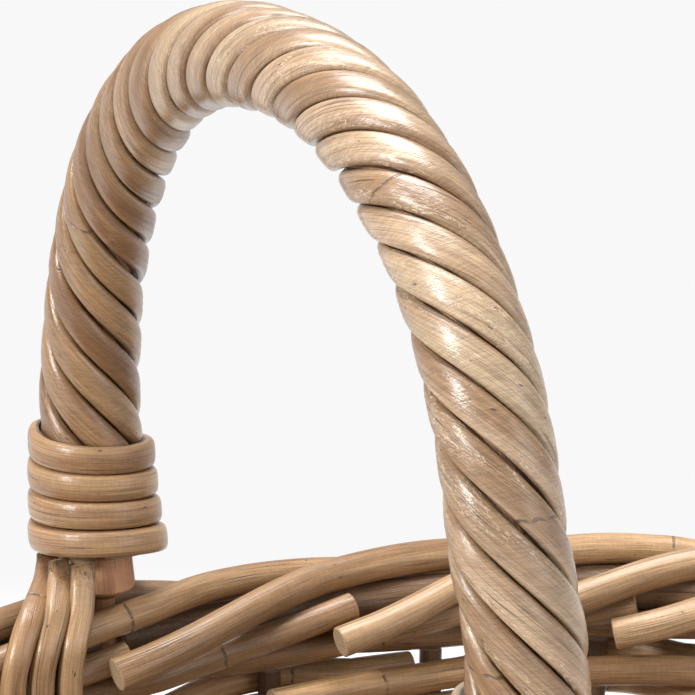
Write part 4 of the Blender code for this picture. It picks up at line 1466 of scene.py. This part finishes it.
def tail_layers(number, leg):
    """Rings, grain and marks of one tail; a leg of -1 turns it half round to the near side."""
    size = sizes()
    across, depth = split_section(13)
    path = smooth_path(tail_points(number), TAIL_STEP)
    length = run_along(path)
    along = unit(np.gradient(path, axis=0))
    wide = unit(SIDE - along * (along @ SIDE)[:, None])
    thick = np.cross(along, wide)
    half = 0.5 * TAIL_FULL_SHARE * size.tail_width * (1.0 + wander(length, "tail_width", number))
    deep = size.tail_thickness * (1.0 + wander(length, "tail_thickness", number))
    deep = deep * np.interp(length, (0.0, TAIL_THIN_RUN), (TAIL_TOP_THIN, 1.0))
    reach = half[:, None] * across[None, :]
    lift = deep[:, None] * (depth[None, :] - 0.5)
    rings = path[:, None, :] + wide[:, None, :] * reach[..., None] + thick[:, None, :] * lift[..., None]
    shifted = length[:, None] + 21.0 + 1.3 * number + leg
    grain = grain_layer(reach, depth * deep[:, None], shifted)
    nodes = node_distances(length, SEEDS["tail"] + number, (0.02, 0.06))
    marks = mark_layer(nodes, len(across), TAIL_TONE_FIRST - TAIL_TONE_STEP * number)
    return rings * (leg, leg, 1.0), grain, marks


class BASKET_OT_tails(bpy.types.Operator):
    """Lay the split canes' tails down the inside of the wall"""

    bl_idname = "basket.tails"
    bl_label = "Strand tails"

    def execute(self, context):
        for name, leg in (("far", 1.0), ("near", -1.0)):
            for number in range(TAIL_COUNT):
                layers = drawn_ends(tail_layers(number, leg))
                piece = rolled_grid(f"wrap_tail_{name}_{number + 1}", *layers)
                dress(piece, "flat_split_cane", f"strand_tail_{name}_{number + 1}")
        return {"FINISHED"}


# Stage


def stage_finish():
    """Pale floor that keeps the basket's shadow and is plain white further out."""
    made = Recipe(bpy.data.materials.new("studio_floor"))
    distance = made.add("ShaderNodeVectorMath", operation="LENGTH")
    made.feed(distance.inputs[0], made.add("ShaderNodeTexCoord").outputs["Object"])
    far = made.window(distance.outputs["Value"], *SHADOW_FADE)
    path = made.add("ShaderNodeLightPath")
    seen = made.maths("MAXIMUM", path.outputs["Is Camera Ray"], path.outputs["Is Glossy Ray"])
    seen = made.maths("MAXIMUM", seen, path.outputs["Is Transmission Ray"])
    shader = made.add("ShaderNodeBsdfPrincipled")
    shader.inputs["Base Color"].default_value = (*colours().floor, 1.0)
    shader.inputs["Roughness"].default_value = 0.9
    shader.inputs["Specular IOR Level"].default_value = 0.1
    plain = made.glow("ShaderNodeEmission", BACKDROP_WHITE)
    return made.surface(made.blend(made.maths("MULTIPLY", far, seen), shader.outputs[0], plain))


def studio_world():
    """Even light from all round, and the plain white that the camera sees."""
    made = Recipe(bpy.data.worlds.new("studio"))
    light = made.glow("ShaderNodeBackground", 1.0, WORLD_STRENGTH)
    seen = made.glow("ShaderNodeBackground", BACKDROP_WHITE)
    camera_ray = made.add("ShaderNodeLightPath").outputs["Is Camera Ray"]
    return made.surface(made.blend(camera_ray, light, seen), "ShaderNodeOutputWorld")


def soft_lamp(name, place, size, power):
    """A square area lamp that faces the basket."""
    bpy.ops.object.light_add(type="AREA", location=place)
    lamp = bpy.context.object
    lamp.name = name
    lamp.data.size = size
    lamp.data.energy = power
    way = Vector(LAMP_TARGET) - Vector(place)
    lamp.rotation_euler = way.to_track_quat("-Z", "Y").to_euler()


def fitted_camera():
    """The camera that was fitted to the photograph."""
    azimuth, elevation = math.radians(CAMERA_AZIMUTH), math.radians(CAMERA_ELEVATION)
    roll = math.radians(CAMERA_ROLL)
    back = Vector((
        math.sin(azimuth) * math.cos(elevation),
        -math.cos(azimuth) * math.cos(elevation),
        math.sin(elevation),
    ))
    right = Vector((math.cos(azimuth), math.sin(azimuth), 0.0))
    up = back.cross(right)
    turned_right = right * math.cos(roll) + up * math.sin(roll)
    turned_up = up * math.cos(roll) - right * math.sin(roll)
    bpy.ops.object.camera_add(location=Vector(CAMERA_TARGET) + back * CAMERA_DISTANCE)
    camera = bpy.context.object
    camera.name = "photo_camera"
    axes = Matrix((turned_right, turned_up, back)).transposed()
    camera.rotation_euler = axes.to_euler()
    camera.data.sensor_fit = "HORIZONTAL"
    camera.data.sensor_width = SENSOR_WIDTH
    camera.data.lens = CAMERA_FOCAL_SHARE * SENSOR_WIDTH
    camera.data.clip_start = CLIP_START
    camera.data.clip_end = CLIP_END
    bpy.context.scene.camera = camera


class BASKET_OT_stage(bpy.types.Operator):
    """Set the floor, the lamps, the world and the camera"""

    bl_idname = "basket.stage"
    bl_label = "Stage"

    def execute(self, context):
        bpy.ops.object.select_all(action="DESELECT")
        bpy.ops.mesh.primitive_plane_add(size=FLOOR_SIZE)
        floor = context.object
        floor.name = "studio_floor"
        floor.data.materials.append(stage_finish())
        context.scene.world = studio_world()
        for lamp in LAMPS:
            soft_lamp(*lamp)
        fitted_camera()
        context.scene.view_settings.view_transform = "Standard"
        return {"FINISHED"}


class BASKET_PT_panel(bpy.types.Panel):
    """Sizes, colours and building steps of the basket"""

    bl_idname = "BASKET_PT_panel"
    bl_label = "Rattan basket"
    bl_space_type = "VIEW_3D"
    bl_region_type = "UI"
    bl_category = "Basket"

    def draw(self, context):
        layout = self.layout
        for group, kind in ((sizes(), BasketSizes), (colours(), BasketColours)):
            box = layout.box()
            for key in kind.__annotations__:
                box.prop(group, key)
        for step in STEPS:
            layout.operator(step.bl_idname)


STEPS = (
    BASKET_OT_ribs,
    BASKET_OT_base_mat,
    BASKET_OT_hoops,
    BASKET_OT_wall_rows,
    BASKET_OT_border,
    BASKET_OT_pole,
    BASKET_OT_strands,
    BASKET_OT_bindings,
    BASKET_OT_tails,
    BASKET_OT_stage,
)
CLASSES = (BasketSizes, BasketColours) + STEPS + (BASKET_PT_panel,)


def register():
    """Make the sizes, the colours, the steps and the panel known."""
    for kind in CLASSES:
        bpy.utils.register_class(kind)
    bpy.types.Scene.basket_sizes = PointerProperty(type=BasketSizes)
    bpy.types.Scene.basket_colours = PointerProperty(type=BasketColours)


def unregister():
    """Take them away again."""
    del bpy.types.Scene.basket_sizes
    del bpy.types.Scene.basket_colours
    for kind in reversed(CLASSES):
        bpy.utils.unregister_class(kind)


def main():
    """Build the basket and its stage."""
    register()
    for step in STEPS:
        group, name = step.bl_idname.split(".")
        getattr(getattr(bpy.ops, group), name)()


if __name__ == "__main__":
    main()
